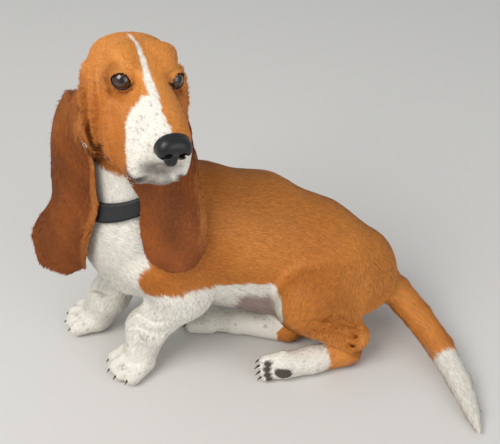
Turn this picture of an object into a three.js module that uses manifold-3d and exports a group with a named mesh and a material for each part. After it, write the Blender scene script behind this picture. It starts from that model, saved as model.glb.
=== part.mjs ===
// A young basset hound sitting with both hind legs kicked to its left, head turned to its left.
// Millimetres, +Z up, floor at Z = 0. The body faces -Y, its left side is +X, and so does the head look.
import * as THREE from 'three';
import { mergeVertices } from 'three/addons/utils/BufferGeometryUtils.js';
import Module from 'manifold-3d';

const wasm = await Module();
wasm.setup();

// driving dimensions
const WELD = 0.02;                      // corners closer than this are one
const GAP = 0.3;                        // space between two nodes that touch
const EYE_MID = [-10, -121, 441];       // point between the eyes: origin of the head's own frame
const HEAD_YAW = 4;                     // degrees, from +X towards +Y
const HEAD_PITCH = 1;                   // degrees, nose up
const HEAD_ROLL = 13;                   // degrees, the dog's left side lower
const EYE_RADIUS = 11.5;
const EYE_PLACE = [5.5, 30, 5];         // in the head's frame, mirrored for the right eye
const LID_THICK = 2.6;
const PRESS = 2;                        // how far a foot would sink if the floor were soft
const SKULL_END = 15;                   // how far the rounded ends of the skull rows reach
const EAR_THICK = 5;
const NECK_CLEAR = 3;                    // least space between an ear and the neck
const EAR_CLEAR = 7.5;                  // least space between an ear's middle sheet and the body
const COLLAR_HEIGHT = 19;
const COLLAR_THICK = 3;
const COLLAR_CLEAR = 2.6;               // space between the collar and the coat
const COLLAR_MID = [-58, -135, 284];
const COLLAR_AXIS = [0, -0.35, 1];      // the collar slopes down at the throat
const CELL = { body: 22, limb: 15, paw: 12, head: 11.5, tail: 13, nose: 7 };

const vec = (p) => new THREE.Vector3(...p);
const rad = THREE.MathUtils.degToRad;

// the head's own frame: x forwards along the muzzle, y to the dog's left, z up
const fore = new THREE.Vector3(
  Math.cos(rad(HEAD_PITCH)) * Math.cos(rad(HEAD_YAW)),
  Math.cos(rad(HEAD_PITCH)) * Math.sin(rad(HEAD_YAW)),
  Math.sin(rad(HEAD_PITCH)));
const level = new THREE.Vector3(-Math.sin(rad(HEAD_YAW)), Math.cos(rad(HEAD_YAW)), 0);
const upright = fore.clone().cross(level);
const left = level.clone().multiplyScalar(Math.cos(rad(HEAD_ROLL)))
  .addScaledVector(upright, -Math.sin(rad(HEAD_ROLL)));
const crown = upright.clone().multiplyScalar(Math.cos(rad(HEAD_ROLL)))
  .addScaledVector(level, Math.sin(rad(HEAD_ROLL)));
const headFrame = new THREE.Matrix4().makeBasis(fore, left, crown).setPosition(vec(EYE_MID));

function inHead(x, y, z) {
  return vec([x, y, z]).applyMatrix4(headFrame).toArray();
}

// rows: [start, end, [half width, half height] at start, the same at end, blend radius]
const TRUNK = [
  [[-50, -122, 197], [-46, -70, 179], [70, 84], [76, 92], 30],
  [[-46, -70, 179], [-34, 15, 158], [76, 92], [73, 84], 30],
  [[-34, 15, 158], [-4, 86, 131], [73, 84], [66, 73], 30],
  [[-4, 86, 131], [28, 138, 103], [66, 73], [67, 68], 30],
  [[-48, -165, 185], [-48, -150, 148], [46, 46], [46, 46], 40],
  [[-50, -148, 212], [-54, -124, 236], [58, 50], [60, 56], 30],
  [[-30, -30, 106], [6, 62, 78], [54, 46], [52, 50], 30],
];
const NECK = [
  [[-54, -138, 235], [-62, -132, 310], [60, 58], [54, 54], 40],
  [[-62, -132, 310], [-62, -120, 385], [54, 54], [52, 50], 25],
];
const TAIL = [
  [[34, 168, 92], [60, 197, 72], [28, 28], [23, 23], 3],
  [[60, 197, 72], [94, 217, 48], [23, 23], [20.5, 20.5], 3],
  [[94, 217, 48], [142, 229, 29], [20.5, 20.5], [19, 19], 3],
  [[142, 229, 29], [200, 230, 17], [19, 19], [16.5, 16.5], 3],
  [[200, 230, 17], [245, 223, 11], [16.5, 16.5], [11.5, 11.5], 3],
  [[245, 223, 11], [274, 218, 6], [11.5, 11.5], [5, 5], 3],
];
const LEFT_THIGH = [
  [[42, 120, 110], [64, 62, 110], [54, 66], [46, 56], 20],
  [[68, 62, 104], [100, 112, 46], [42, 46], [24, 28], 22],
];
const LEFT_HOCK = [
  [[103, 108, 20], [98, 56, 18.5], [20, 22], [19, 20], 10],
  [[98, 56, 18.5], [97, 14, 21], [19, 20], [18, 23], 10],
];
const RIGHT_THIGH = [
  [[-14, 128, 49], [-30, 62, 45], [57, 53], [44, 46], 20],
  [[-22, 60, 48], [30, 56, 26], [36, 38], [24, 25], 20],
];
const RIGHT_HOCK = [
  [[34, 46, 18], [-8, -18, 16.5], [19, 20], [17, 18], 10],
  [[-8, -18, 16.5], [-26, -50, 15.5], [17, 18], [20, 17], 10],
];
const FORELEGS = {
  left: { shoulder: [6, -122, 180], elbow: [20, -100, 128], wrist: [2, -150, 64],
    foot: [8, -166, 22], toes: [20, -206, 12] },
  right: { shoulder: [-104, -132, 185], elbow: [-108, -122, 130], wrist: [-76, -186, 64],
    foot: [-90, -204, 22], toes: [-106, -244, 12] },
};
// the head from behind the skull to the nose: [x, top, underside, half width, height of the widest place]
const SKULL = [
  [-92, 12, -40, 36, -8], [-76, 25, -54, 46, -8], [-54, 34, -66, 50, -8], [-30, 36, -74, 51, -12],
  [-8, 31, -76, 47, -18], [10, 21, -74, 40, -28], [30, 10, -70, 34, -34], [60, 1, -66, 32, -36],
  [76, -3, -63, 30, -36], [86, -8, -56, 27, -36],
];
// rows in the head's frame, on both sides
const FACE_PAIRS = [
  [[-24, 37, -40], [24, 32, -64], [15, 33], [14, 35], 16],
  [[-48, 40, -16], [-40, 42, -84], [16, 17], [15, 18], 16],
  [[-30, 40, -12], [14, 33, -22], [13, 14], [9, 10], 14],
  [[20, 29, -61], [76, 22, -62], [13, 37], [13, 26], 14],
  [[-20, 24, 24], [6, 24, 19], [16, 11], [10, 8], 14],
  [[78, 10, -32], [90, 9, -31], [15, 17], [11, 13], 10],
];
const FACE_MIDDLE = [
  [[0, 0, 8], [90, 0, -17], [18, 16], [19, 12], 14],
  [[20, 0, -79], [84, 0, -76], [24, 12], [18, 9], 10],
];
const ORBIT = [[22, 30, 5], [8, 40, 3], [11, 13], [12, 14], 10];
const NOSE_PAD = [
  [[91, 8, -28], [103, 9, -27], [13.5, 17], [11.5, 13], 5],
  [[91, -8, -28], [103, -9, -27], [13.5, 17], [11.5, 13], 5],
  [[92, 0, -21], [104, 0, -22], [16, 13], [14, 9], 5],
  [[96, 0, -38], [101, 0, -44], [8, 8], [6, 5], 5],
];

// Smooth union: the two distances meet in a round of the given radius.
function softMin(a, b, radius) {
  const h = Math.max(radius - Math.abs(a - b), 0) / radius;
  return Math.min(a, b) - h * h * radius / 4;
}

// A tapered limb with an elliptic section: distance to its skin, and the box that holds it.
function limb([start, end, startSize, endSize, blend], upHint = [0, 0, 1]) {
  const a = vec(start);
  const axis = vec(end).sub(a);
  const length = Math.max(axis.length(), 1e-6);
  axis.normalize();
  let up = vec(upHint);
  up.addScaledVector(axis, -up.dot(axis));
  if (up.length() < 0.05) up = new THREE.Vector3(1, 0, 0).addScaledVector(axis, -axis.x);
  up.normalize();
  const side = up.clone().cross(axis);
  const reach = Math.max(...startSize, ...endSize) + 2 + blend;
  const distance = (x, y, z) => {
    const px = x - a.x, py = y - a.y, pz = z - a.z;
    const along = px * axis.x + py * axis.y + pz * axis.z;
    const t = Math.min(Math.max(along / length, 0), 1);
    const past = along - t * length;
    const wide = startSize[0] + (endSize[0] - startSize[0]) * t;
    const high = startSize[1] + (endSize[1] - startSize[1]) * t;
    const cap = Math.min(wide, high);
    const u = (px * side.x + py * side.y + pz * side.z) / wide;
    const v = (px * up.x + py * up.y + pz * up.z) / high;
    const w = past / cap;
    const k0 = Math.sqrt(u * u + v * v + w * w) + 1e-6;
    const k1 = Math.hypot(u / wide, v / high, w / cap) + 1e-9;
    return k0 * (k0 - 1) / k1;
  };
  return {
    distance, blend,
    low: start.map((s, i) => Math.min(s, end[i]) - reach),
    high: start.map((s, i) => Math.max(s, end[i]) + reach),
  };
}

function headLimb([start, end, startSize, endSize, blend], side = 1) {
  const turned = (p) => inHead(p[0], p[1] * side, p[2]);
  return limb([turned(start), turned(end), startSize, endSize, blend], crown.toArray());
}

// Rows of numbers read as a smooth curve: cubic pieces whose slope at a row is that of its neighbours.
function smoothRows(rows) {
  const n = rows.length;
  const slope = rows.map((row, i) => {
    const b = rows[Math.max(i - 1, 0)], c = rows[Math.min(i + 1, n - 1)];
    if (i === 0 || i === n - 1) return row.slice(1).map((_, j) => (c[j + 1] - b[j + 1]) / (c[0] - b[0]));
    const hl = row[0] - b[0], hr = c[0] - row[0];
    return row.slice(1).map((v, j) => {
      const dl = (v - b[j + 1]) / hl, dr = (c[j + 1] - v) / hr;
      return (dl * hr + dr * hl) / (hl + hr);
    });
  });
  return (at) => {
    const x = Math.min(Math.max(at, rows[0][0]), rows[n - 1][0]);
    let i = 0;
    while (i < n - 2 && x >= rows[i + 1][0]) i += 1;
    const h = rows[i + 1][0] - rows[i][0], t = (x - rows[i][0]) / h, t2 = t * t, t3 = t2 * t;
    return rows[i].slice(1).map((v, j) => (2 * t3 - 3 * t2 + 1) * v + (t3 - 2 * t2 + t) * h * slope[i][j]
      + (3 * t2 - 2 * t3) * rows[i + 1][j + 1] + (t3 - t2) * h * slope[i + 1][j]);
  };
}

// The skull: rounded sections from the rows above, closed at both ends.
function skullForm() {
  const section = smoothRows(SKULL);
  const first = SKULL[0][0], last = SKULL[SKULL.length - 1][0];
  const back = headFrame.clone().invert();
  const point = new THREE.Vector3();
  const distance = (x, y, z) => {
    point.set(x, y, z).applyMatrix4(back);
    const along = Math.min(Math.max(point.x, first), last);
    const past = Math.abs(point.x - along) / SKULL_END;
    const [top, bottom, half, widest] = section(along);
    const rise = point.z - widest;
    const height = rise > 0 ? top - widest : widest - bottom;
    const k = (Math.abs(point.y / half) ** 2.25 + Math.abs(rise / height) ** 2.25 + past ** 2.25) ** (1 / 2.25);
    return (k - 1) * Math.min(half, height, 45) * 0.9;
  };
  return { distance, blend: 1, low: EYE_MID.map((c) => c - 170), high: EYE_MID.map((c) => c + 170) };
}

// Four toes fanned in front of a foot.
function toeLimbs(foot, toes, spread, reach, size) {
  const from = vec(foot);
  const ahead = vec(toes).sub(from).normalize();
  const across = new THREE.Vector3(0, 0, 1).cross(ahead);
  return [[-1.5, 0.76], [-0.5, 1], [0.5, 1], [1.5, 0.76]].map(([place, length]) => {
    const root = from.clone().addScaledVector(across, place * spread * 0.95);
    const tip = from.clone().addScaledVector(ahead, length * reach).addScaledVector(across, place * spread * 1.2);
    root.z -= 3;
    tip.z = size[1] - PRESS;
    return [root.toArray(), tip.toArray(), [size[0], size[1] + 2], size, 6];
  });
}

const LEFT_HIND_TOES = [[-1.4, 0.8], [-0.5, 1], [0.5, 1], [1.4, 0.8]].map(([place, length]) => [
  [97 - place * 2, 16, 24 + place * 10], [94 - place * 3, -6 - 8 * length, 22 + place * 9], [10, 11], [10, 10], 5]);
const FORE_TOES = Object.fromEntries(Object.entries(FORELEGS).map(
  ([side, leg]) => [side, toeLimbs(leg.foot, leg.toes, 13, 36, [12, 13])]));
const RIGHT_HIND_TOES = toeLimbs([-26, -50, 16], [-48, -84, 11], 9, 34, [10, 12]);

// groups of forms: each is joined in itself first and then to the body with its own blend
function bodyGroups() {
  const neck = NECK.map((row) => limb(row, [1, 0, 0]));
  const groups = [{ blend: 1, forms: [...TRUNK.map((row) => limb(row)), ...neck] }];
  const face = [skullForm()];
  for (const row of FACE_PAIRS) face.push(headLimb(row, 1), headLimb(row, -1));
  for (const row of FACE_MIDDLE) face.push(headLimb(row));
  groups.push({ blend: 22, forms: face, cuts: [headLimb(ORBIT, 1), headLimb(ORBIT, -1)] });
  for (const [side, leg] of Object.entries(FORELEGS)) {
    groups.push({ blend: 16, forms: [
      limb([leg.shoulder, leg.elbow, [38, 52], [32, 38], 20], [0, 1, 0]),
      limb([leg.elbow, leg.wrist, [32, 36], [27, 29], 18], [0, -1, 0]),
      limb([leg.wrist, leg.foot, [27, 28], [29, 24], 12], [0, -1, 0]),
      ...FORE_TOES[side].map((row) => limb(row))] });
  }
  const plain = (rows) => rows.map((row) => limb(row));
  groups.push({ blend: 10, forms: plain(LEFT_THIGH) });
  groups.push({ blend: 6, forms: plain([...LEFT_HOCK, ...LEFT_HIND_TOES]) });
  groups.push({ blend: 20, forms: plain(RIGHT_THIGH) });
  groups.push({ blend: 4, forms: plain([...RIGHT_HOCK, ...RIGHT_HIND_TOES]) });
  groups.push({ blend: 14, forms: plain(TAIL) });
  return groups;
}
const GROUPS = bodyGroups();
const FAR = 60;

function groupDistance(group, x, y, z) {
  const inside = (form) => x > form.low[0] && x < form.high[0] && y > form.low[1] && y < form.high[1]
    && z > form.low[2] && z < form.high[2];
  let d = FAR;
  for (const form of group.forms) if (inside(form)) d = softMin(d, form.distance(x, y, z), form.blend);
  for (const form of group.cuts ?? []) {
    if (inside(form)) d = -softMin(-d, form.distance(x, y, z), form.blend);
  }
  return d;
}

function bodyDistance(x, y, z) {
  let d = FAR;
  for (const group of GROUPS) d = softMin(d, groupDistance(group, x, y, z), group.blend);
  return d;
}

// Where two inner corners of a grid square lie across from two outer ones, the skin would touch itself,
// so the outer corner nearest the skin is counted as inner.
function fillCrossings(value, [nx, ny, nz]) {
  const strides = [ny * nz, nz, 1];
  const pairs = [[strides[0], strides[1]], [strides[1], strides[2]], [strides[0], strides[2]]];
  for (let changed = true; changed;) {
    changed = false;
    for (let i = 0; i < nx - 1; i += 1) {
      for (let j = 0; j < ny - 1; j += 1) {
        for (let k = 0; k < nz - 1; k += 1) {
          const a = (i * ny + j) * nz + k;
          for (const [s, t] of pairs) {
            const square = [a, a + s, a + s + t, a + t];
            const inner = square.map((n) => value[n] < 0);
            if (inner[0] !== inner[2] || inner[1] !== inner[3] || inner[0] === inner[1]) continue;
            const outer = square.filter((n) => value[n] >= 0).sort((p, q) => value[p] - value[q])[0];
            value[outer] = -0.05;
            changed = true;
          }
        }
      }
    }
  }
}

// The skin of a distance function inside a box, as a closed mesh of small four-sided faces:
// one vertex in each grid cell that the skin passes through, at the mean of its edge crossings.
function skinMesh(distance, low, high, cell) {
  const start = low.map((v) => (Math.floor(v / cell) - 1) * cell);
  const count = high.map((v, i) => Math.ceil((v - start[i]) / cell) + 2);
  const [nx, ny, nz] = count;
  const value = new Float32Array(nx * ny * nz);
  const at = (i, j, k) => (i * ny + j) * nz + k;
  for (let i = 0; i < nx; i += 1) {
    for (let j = 0; j < ny; j += 1) {
      for (let k = 0; k < nz; k += 1) {
        const p = [start[0] + i * cell, start[1] + j * cell, start[2] + k * cell];
        const outside = Math.max(...p.map((v, n) => Math.max(low[n] - v, v - high[n])));
        value[at(i, j, k)] = outside > -0.01 ? Math.max(outside, 0.5) : distance(...p);
      }
    }
  }
  fillCrossings(value, count);
  const corners = [0, 1, 2, 3, 4, 5, 6, 7].map((n) => [n >> 2 & 1, n >> 1 & 1, n & 1]);
  const edges = [];
  corners.forEach((a, m) => corners.forEach((b, n) => {
    const moved = b.map((v, i) => v - a[i]);
    if (n > m && Math.min(...moved) >= 0 && moved[0] + moved[1] + moved[2] === 1) edges.push([a, b]);
  }));
  const positions = [];
  const vertexOf = new Int32Array(nx * ny * nz).fill(-1);
  for (let i = 0; i < nx - 1; i += 1) {
    for (let j = 0; j < ny - 1; j += 1) {
      for (let k = 0; k < nz - 1; k += 1) {
        const sum = [0, 0, 0];
        let crossings = 0;
        for (const [a, b] of edges) {
          const va = value[at(i + a[0], j + a[1], k + a[2])];
          const vb = value[at(i + b[0], j + b[1], k + b[2])];
          if ((va < 0) === (vb < 0)) continue;
          const t = va / (va - vb);
          for (let n = 0; n < 3; n += 1) sum[n] += a[n] + (b[n] - a[n]) * t;
          crossings += 1;
        }
        if (!crossings) continue;
        vertexOf[at(i, j, k)] = positions.length / 3;
        [i, j, k].forEach((cellPlace, n) => positions.push(start[n] + (cellPlace + sum[n] / crossings) * cell));
      }
    }
  }
  const triangles = [];
  const step = [[1, 0, 0], [0, 1, 0], [0, 0, 1]];
  for (let i = 1; i < nx - 1; i += 1) {
    for (let j = 1; j < ny - 1; j += 1) {
      for (let k = 1; k < nz - 1; k += 1) {
        const here = value[at(i, j, k)] < 0;
        for (let axis = 0; axis < 3; axis += 1) {
          const next = [i + step[axis][0], j + step[axis][1], k + step[axis][2]];
          if (here === value[at(...next)] < 0) continue;
          const u = step[(axis + 1) % 3], w = step[(axis + 2) % 3];
          const around = [[1, 1], [0, 1], [0, 0], [1, 0]].map(([du, dw]) => vertexOf[
            at(i - u[0] * du - w[0] * dw, j - u[1] * du - w[1] * dw, k - u[2] * du - w[2] * dw)]);
          const [p, q, r, s] = here ? around : around.reverse();
          triangles.push(p, q, r, p, r, s);
        }
      }
    }
  }
  return makeSolid(new Float32Array(positions), new Uint32Array(triangles));
}

function makeSolid(vertProperties, triVerts) {
  return new wasm.Manifold(new wasm.Mesh({ numProp: 3, vertProperties, triVerts }));
}

function solidOf(geometry, matrix) {
  const bare = geometry.clone();
  bare.deleteAttribute('normal');
  bare.deleteAttribute('uv');
  if (matrix) bare.applyMatrix4(matrix);
  const merged = mergeVertices(bare, 1e-4);
  return makeSolid(new Float32Array(merged.attributes.position.array), new Uint32Array(merged.index.array));
}

// The largest closed surface of a solid, which drops loose scraps left by a cut.
function largest(solid) {
  return solid.decompose().sort((a, b) => b.volume() - a.volume())[0];
}

// All that lies within an upright box and in front of each plane, drawn in by half a gap or grown by it.
function regionSolid({ low, high, planes = [] }, grow) {
  const size = low.map((v, i) => high[i] - v + 2 * grow);
  const box = new THREE.BoxGeometry(...size);
  const middle = low.map((v, i) => (v + high[i]) / 2);
  let solid = solidOf(box, new THREE.Matrix4().makeTranslation(...middle));
  for (const [point, normal] of planes) {
    const n = vec(normal).normalize();
    const turn = new THREE.Quaternion().setFromUnitVectors(new THREE.Vector3(0, 0, 1), n);
    const block = new THREE.BoxGeometry(2000, 2000, 1000);
    const centre = vec(point).addScaledVector(n, 500 - grow);
    solid = solid.intersect(solidOf(block, new THREE.Matrix4().compose(centre, turn, new THREE.Vector3(1, 1, 1))));
  }
  return solid;
}

const HEAD_CUT = [[-62, -125, 372], [0.447, 0, 0.894]];
const COLLAR_CUT = [COLLAR_MID, COLLAR_AXIS];
const reversed = ([point, normal]) => [point, normal.map((v) => -v)];
const BELOW = -40;                      // regions reach under the floor, which then cuts them flat
const COAT = { tan: 0xb5672f, ear: 0x8c4422, white: 0xeee6da, black: 0x17161a, eye: 0x2a1a14, strap: 0x15151a };

// nodes in the order they are parted from the body; what one takes, the later ones leave out
const REGIONS = [
  { name: 'head', cell: CELL.head, low: [-150, -240, 290], high: [140, 0, 500], planes: [HEAD_CUT], colour: 'tan' },
  { name: 'neck', cell: CELL.body, low: [-150, -260, 200], high: [60, -40, 420],
    planes: [reversed(HEAD_CUT), COLLAR_CUT], colour: 'tan' },
  { name: 'left_forepaw', cell: CELL.paw, low: [-34, -240, BELOW], high: [80, -100, 90],
    planes: [[[2, -150, 50], [0.1, -0.4, -0.9]]], colour: 'white' },
  { name: 'right_forepaw', cell: CELL.paw, low: [-160, -290, BELOW], high: [-45, -140, 90],
    planes: [[[-78, -188, 50], [-0.1, -0.4, -0.9]]], colour: 'white' },
  { name: 'left_forearm', cell: CELL.limb, low: [-26, -230, BELOW], high: [90, -50, 140],
    planes: [[[14, -118, 100], [-0.2, -0.6, -0.75]]], colour: 'white' },
  { name: 'right_forearm', cell: CELL.limb, low: [-170, -270, BELOW], high: [-62, -70, 150],
    planes: [[[-96, -146, 104], [0.3, -0.6, -0.75]]], colour: 'white' },
  { name: 'left_shoulder', cell: CELL.body, low: [18, -240, 60], high: [120, -48, 260], colour: 'tan' },
  { name: 'right_shoulder', cell: CELL.body, low: [-200, -240, 60], high: [-112, -48, 270], colour: 'tan' },
  { name: 'left_hind_foot', cell: CELL.paw, low: [60, -60, BELOW], high: [170, 160, 46], colour: 'white' },
  { name: 'right_hind_foot', cell: CELL.paw, low: [-90, -130, BELOW], high: [58, 48, 46], colour: 'white' },
  { name: 'tail_tip', cell: CELL.tail, low: [150, 150, BELOW], high: [320, 300, 80], colour: 'white' },
  { name: 'tail_root', cell: CELL.tail, low: [30, 140, BELOW], high: [150, 300, 130],
    planes: [[[60, 198, 74], [0.59, 0.69, -0.42]]], colour: 'tan' },
  { name: 'left_thigh', cell: CELL.body, low: [52, -20, 46], high: [180, 230, 220], colour: 'tan' },
  { name: 'right_thigh', cell: CELL.body, low: [-120, 48, BELOW], high: [-8, 240, 100], colour: 'tan' },
  { name: 'hips', cell: CELL.body, low: [-160, 62, BELOW], high: [180, 260, 260], colour: 'tan' },
  { name: 'loin', cell: CELL.body, low: [-160, -48, BELOW], high: [180, 62, 300], colour: 'tan' },
  { name: 'chest', cell: CELL.body, low: [-200, -260, 40], high: [160, -48, 330],
    planes: [reversed(COLLAR_CUT)], colour: 'tan' },
];

const FLOOR = regionSolid({ low: [-500, -500, -200], high: [500, 500, 0] }, 0);

function partedBody() {
  const solids = {};
  const taken = [];
  for (const region of REGIONS) {
    const margin = 2 * region.cell;
    const low = region.low.map((v) => v - margin);
    const high = region.high.map((v) => v + margin);
    let solid = skinMesh(bodyDistance, low, high, region.cell);
    solid = solid.intersect(regionSolid(region, -GAP / 2));
    for (const other of taken) solid = solid.subtract(regionSolid(other, GAP / 2));
    solids[region.name] = largest(solid.subtract(FLOOR));
    taken.push(region);
  }
  return solids;
}

// A closed leaf from two grids of points, its outer and its inner face, split alike on both.
function leafSolid(outer, inner) {
  const rows = outer.length, columns = outer[0].length;
  const positions = [];
  for (const face of [outer, inner]) for (const row of face) for (const p of row) positions.push(...p);
  const o = (i, j) => i * columns + j;
  const n = (i, j) => rows * columns + o(i, j);
  const triangles = [];
  for (let i = 0; i < rows - 1; i += 1) {
    for (let j = 0; j < columns - 1; j += 1) {
      triangles.push(o(i, j), o(i + 1, j), o(i + 1, j + 1), o(i, j), o(i + 1, j + 1), o(i, j + 1));
      triangles.push(n(i, j), n(i + 1, j + 1), n(i + 1, j), n(i, j), n(i, j + 1), n(i + 1, j + 1));
    }
  }
  const rim = [];
  for (let j = 0; j < columns - 1; j += 1) rim.push([0, j, 0, j + 1]);
  for (let i = 0; i < rows - 1; i += 1) rim.push([i, columns - 1, i + 1, columns - 1]);
  for (let j = columns - 1; j > 0; j -= 1) rim.push([rows - 1, j, rows - 1, j - 1]);
  for (let i = rows - 1; i > 0; i -= 1) rim.push([i, 0, i - 1, 0]);
  for (const [a, b, c, d] of rim) triangles.push(o(a, b), o(c, d), n(c, d), o(a, b), n(c, d), n(a, b));
  let solid = makeSolid(new Float32Array(positions), new Uint32Array(triangles));
  if (solid.volume() < 0) {
    for (let t = 0; t < triangles.length; t += 3) [triangles[t], triangles[t + 1]] = [triangles[t + 1], triangles[t]];
    solid = makeSolid(new Float32Array(positions), new Uint32Array(triangles));
  }
  return solid;
}

// Ears: rows down the ear, [share of the length, middle point, half width, arc of the section in radians,
// direction across from the front hem to the back hem]
const EARS = {
  right: { outward: [0.6, -0.8, 0], rows: [
    [0, [-56, -172, 430], 20, 0.4, [-0.95, 0, -0.2]],
    [0.1, [-57, -189, 416], 30, 0.8, [-0.88, -0.3, -0.1]],
    [0.25, [-55, -209, 386], 39, 1.1, [-0.82, -0.5, 0]],
    [0.42, [-50, -218, 345], 46, 1.1, [-0.75, -0.62, 0]],
    [0.6, [-45, -219, 296], 46, 0.9, [-0.68, -0.7, 0]],
    [0.8, [-41, -222, 236], 47, 0.7, [-0.58, -0.8, 0]],
    [0.92, [-45, -246, 193], 45, 0.5, [-0.5, -0.85, 0.05]],
    [1, [-46, -260, 168], 26, 0.3, [-0.4, -0.9, 0.1]]] },
  left: { outward: [0.8, 0.6, 0], rows: [
    [0, [-62, -76, 404], 18, 0.4, [-1, 0, -0.2]],
    [0.12, [-74, -74, 386], 24, 0.5, [-0.95, 0.2, 0]],
    [0.28, [-74, -84, 354], 30, 0.7, [-0.85, 0.5, 0]],
    [0.45, [-42, -99, 322], 36, 0.65, [-0.6, 0.8, 0]],
    [0.6, [2, -102, 288], 41, 0.6, [-0.3, 0.92, 0.05]],
    [0.8, [30, -108, 242], 43, 0.5, [-0.1, 0.97, 0.1]],
    [0.92, [38, -109, 213], 36, 0.45, [-0.05, 1, 0.1]],
    [1, [41, -109, 196], 17, 0.4, [0, 1, 0.1]]] },
};
const EAR_STEPS = { along: 14, across: 7 };

function bodySlope(p) {
  const e = 1;
  return new THREE.Vector3(...[0, 1, 2].map((n) => {
    const a = [...p], b = [...p];
    a[n] += e;
    b[n] -= e;
    return bodyDistance(...a) - bodyDistance(...b);
  })).normalize();
}

function earSolid({ outward, rows }, keepOff) {
  const curve = smoothRows(rows.map(([u, mid, half, arc, across]) => [u, ...mid, half, arc, ...across]));
  const outer = [], inner = [];
  for (let i = 0; i <= EAR_STEPS.along; i += 1) {
    const u = i / EAR_STEPS.along;
    const now = curve(u), before = curve(u - 0.02), after = curve(u + 0.02);
    const down = vec(after.slice(0, 3)).sub(vec(before.slice(0, 3))).normalize();
    const across = vec(now.slice(5, 8));
    across.addScaledVector(down, -across.dot(down)).normalize();
    const out = down.clone().cross(across);
    if (out.dot(vec(outward)) < 0) out.negate();
    const [half, arc] = [now[3], now[4]];
    const outerRow = [], innerRow = [];
    for (let j = 0; j <= EAR_STEPS.across; j += 1) {
      const v = 2 * j / EAR_STEPS.across - 1;
      const angle = arc * v, radius = half / arc;
      const middle = vec(now.slice(0, 3)).addScaledVector(across, radius * Math.sin(angle))
        .addScaledVector(out, radius * (Math.cos(angle) - 1));
      const face = out.clone().multiplyScalar(Math.cos(angle)).addScaledVector(across, Math.sin(angle));
      if (u > 0.14) {
        for (let pass = 0; pass < 3; pass += 1) {
          const near = EAR_CLEAR + EAR_THICK / 2 - bodyDistance(...middle.toArray());
          if (near > 0) middle.addScaledVector(bodySlope(middle.toArray()), near);
        }
      }
      const thick = EAR_THICK * (1 - 0.35 * Math.abs(v) ** 3);
      outerRow.push(middle.clone().addScaledVector(face, thick / 2).toArray());
      innerRow.push(middle.clone().addScaledVector(face, -thick / 2).toArray());
    }
    outer.push(outerRow);
    inner.push(innerRow);
  }
  return largest(leafSolid(outer, inner).subtract(keepOff));
}

function eyeCentre(side) {
  return inHead(EYE_PLACE[0], EYE_PLACE[1] * side, EYE_PLACE[2]);
}

function ball(centre, radius, detail) {
  return solidOf(new THREE.IcosahedronGeometry(radius, detail), new THREE.Matrix4().makeTranslation(...centre));
}

// A lid: a piece of a shell round the eyeball, from its root under the brow or cheek to its edge.
function lidSolid(side, rootTilt, edgeTilt) {
  const centre = vec(eyeCentre(side));
  const ahead = fore.clone().multiplyScalar(0.8).addScaledVector(left, 0.6 * side).normalize();
  const across = crown.clone().cross(ahead).normalize();
  const above = ahead.clone().cross(across).normalize();
  const shell = (radius) => {
    const grid = [];
    for (let i = 0; i <= 4; i += 1) {
      const row = [];
      for (let j = 0; j <= 10; j += 1) {
        const swing = rad(-72 + 14.4 * j);
        const close = Math.cos(swing) ** 0.7;
        const tilt = rad(rootTilt + (edgeTilt * close - rootTilt) * i / 4);
        row.push(centre.clone()
          .addScaledVector(ahead, radius * Math.cos(tilt) * Math.cos(swing))
          .addScaledVector(across, radius * Math.cos(tilt) * Math.sin(swing))
          .addScaledVector(above, radius * Math.sin(tilt)).toArray());
      }
      grid.push(row);
    }
    return grid;
  };
  return leafSolid(shell(EYE_RADIUS + LID_THICK), shell(EYE_RADIUS - 1));
}

// The line of the mouth: a thin curved cut under the hanging upper lip, from the chin to the corner.
function mouthCut(side) {
  const line = smoothRows([[0, 99, 0, -62], [0.2, 94, 17, -69], [0.45, 74, 30, -84], [0.75, 36, 39, -92],
    [1, 12, 43, -78]]);
  const lay = (rise) => {
    const grid = [];
    for (let i = 0; i <= 14; i += 1) {
      const [x, y, z] = line(i / 14);
      grid.push([1.25, 0.9, 0.6].map((share) => inHead(x * (0.9 + 0.1 * share), y * share * side,
        z + rise + 8 * (1 - share))));
    }
    return grid;
  };
  return leafSolid(lay(0.8), lay(-0.8));
}

function nostrilCut(side) {
  const rows = [[[112, 9 * side, -31], [94, 5 * side, -30], [4.2, 3.2], [3, 2.6], 3],
    [[110, 13 * side, -34], [96, 14 * side, -36], [2.6, 1.6], [1.5, 1], 3]];
  const forms = rows.map((row) => headLimb(row));
  const mid = inHead(103, 10 * side, -32);
  const distance = (x, y, z) => forms.reduce((d, f) => softMin(d, f.distance(x, y, z), 3), FAR);
  return skinMesh(distance, mid.map((c) => c - 16), mid.map((c) => c + 16), 2.2);
}

function noseForm(grow) {
  const forms = NOSE_PAD.map((row) => headLimb(row));
  const mid = inHead(98, 0, -32);
  const distance = (x, y, z) => forms.reduce((d, f) => softMin(d, f.distance(x, y, z), f.blend), FAR) - grow;
  return skinMesh(distance, mid.map((c) => c - 30), mid.map((c) => c + 30), CELL.nose);
}

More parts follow.
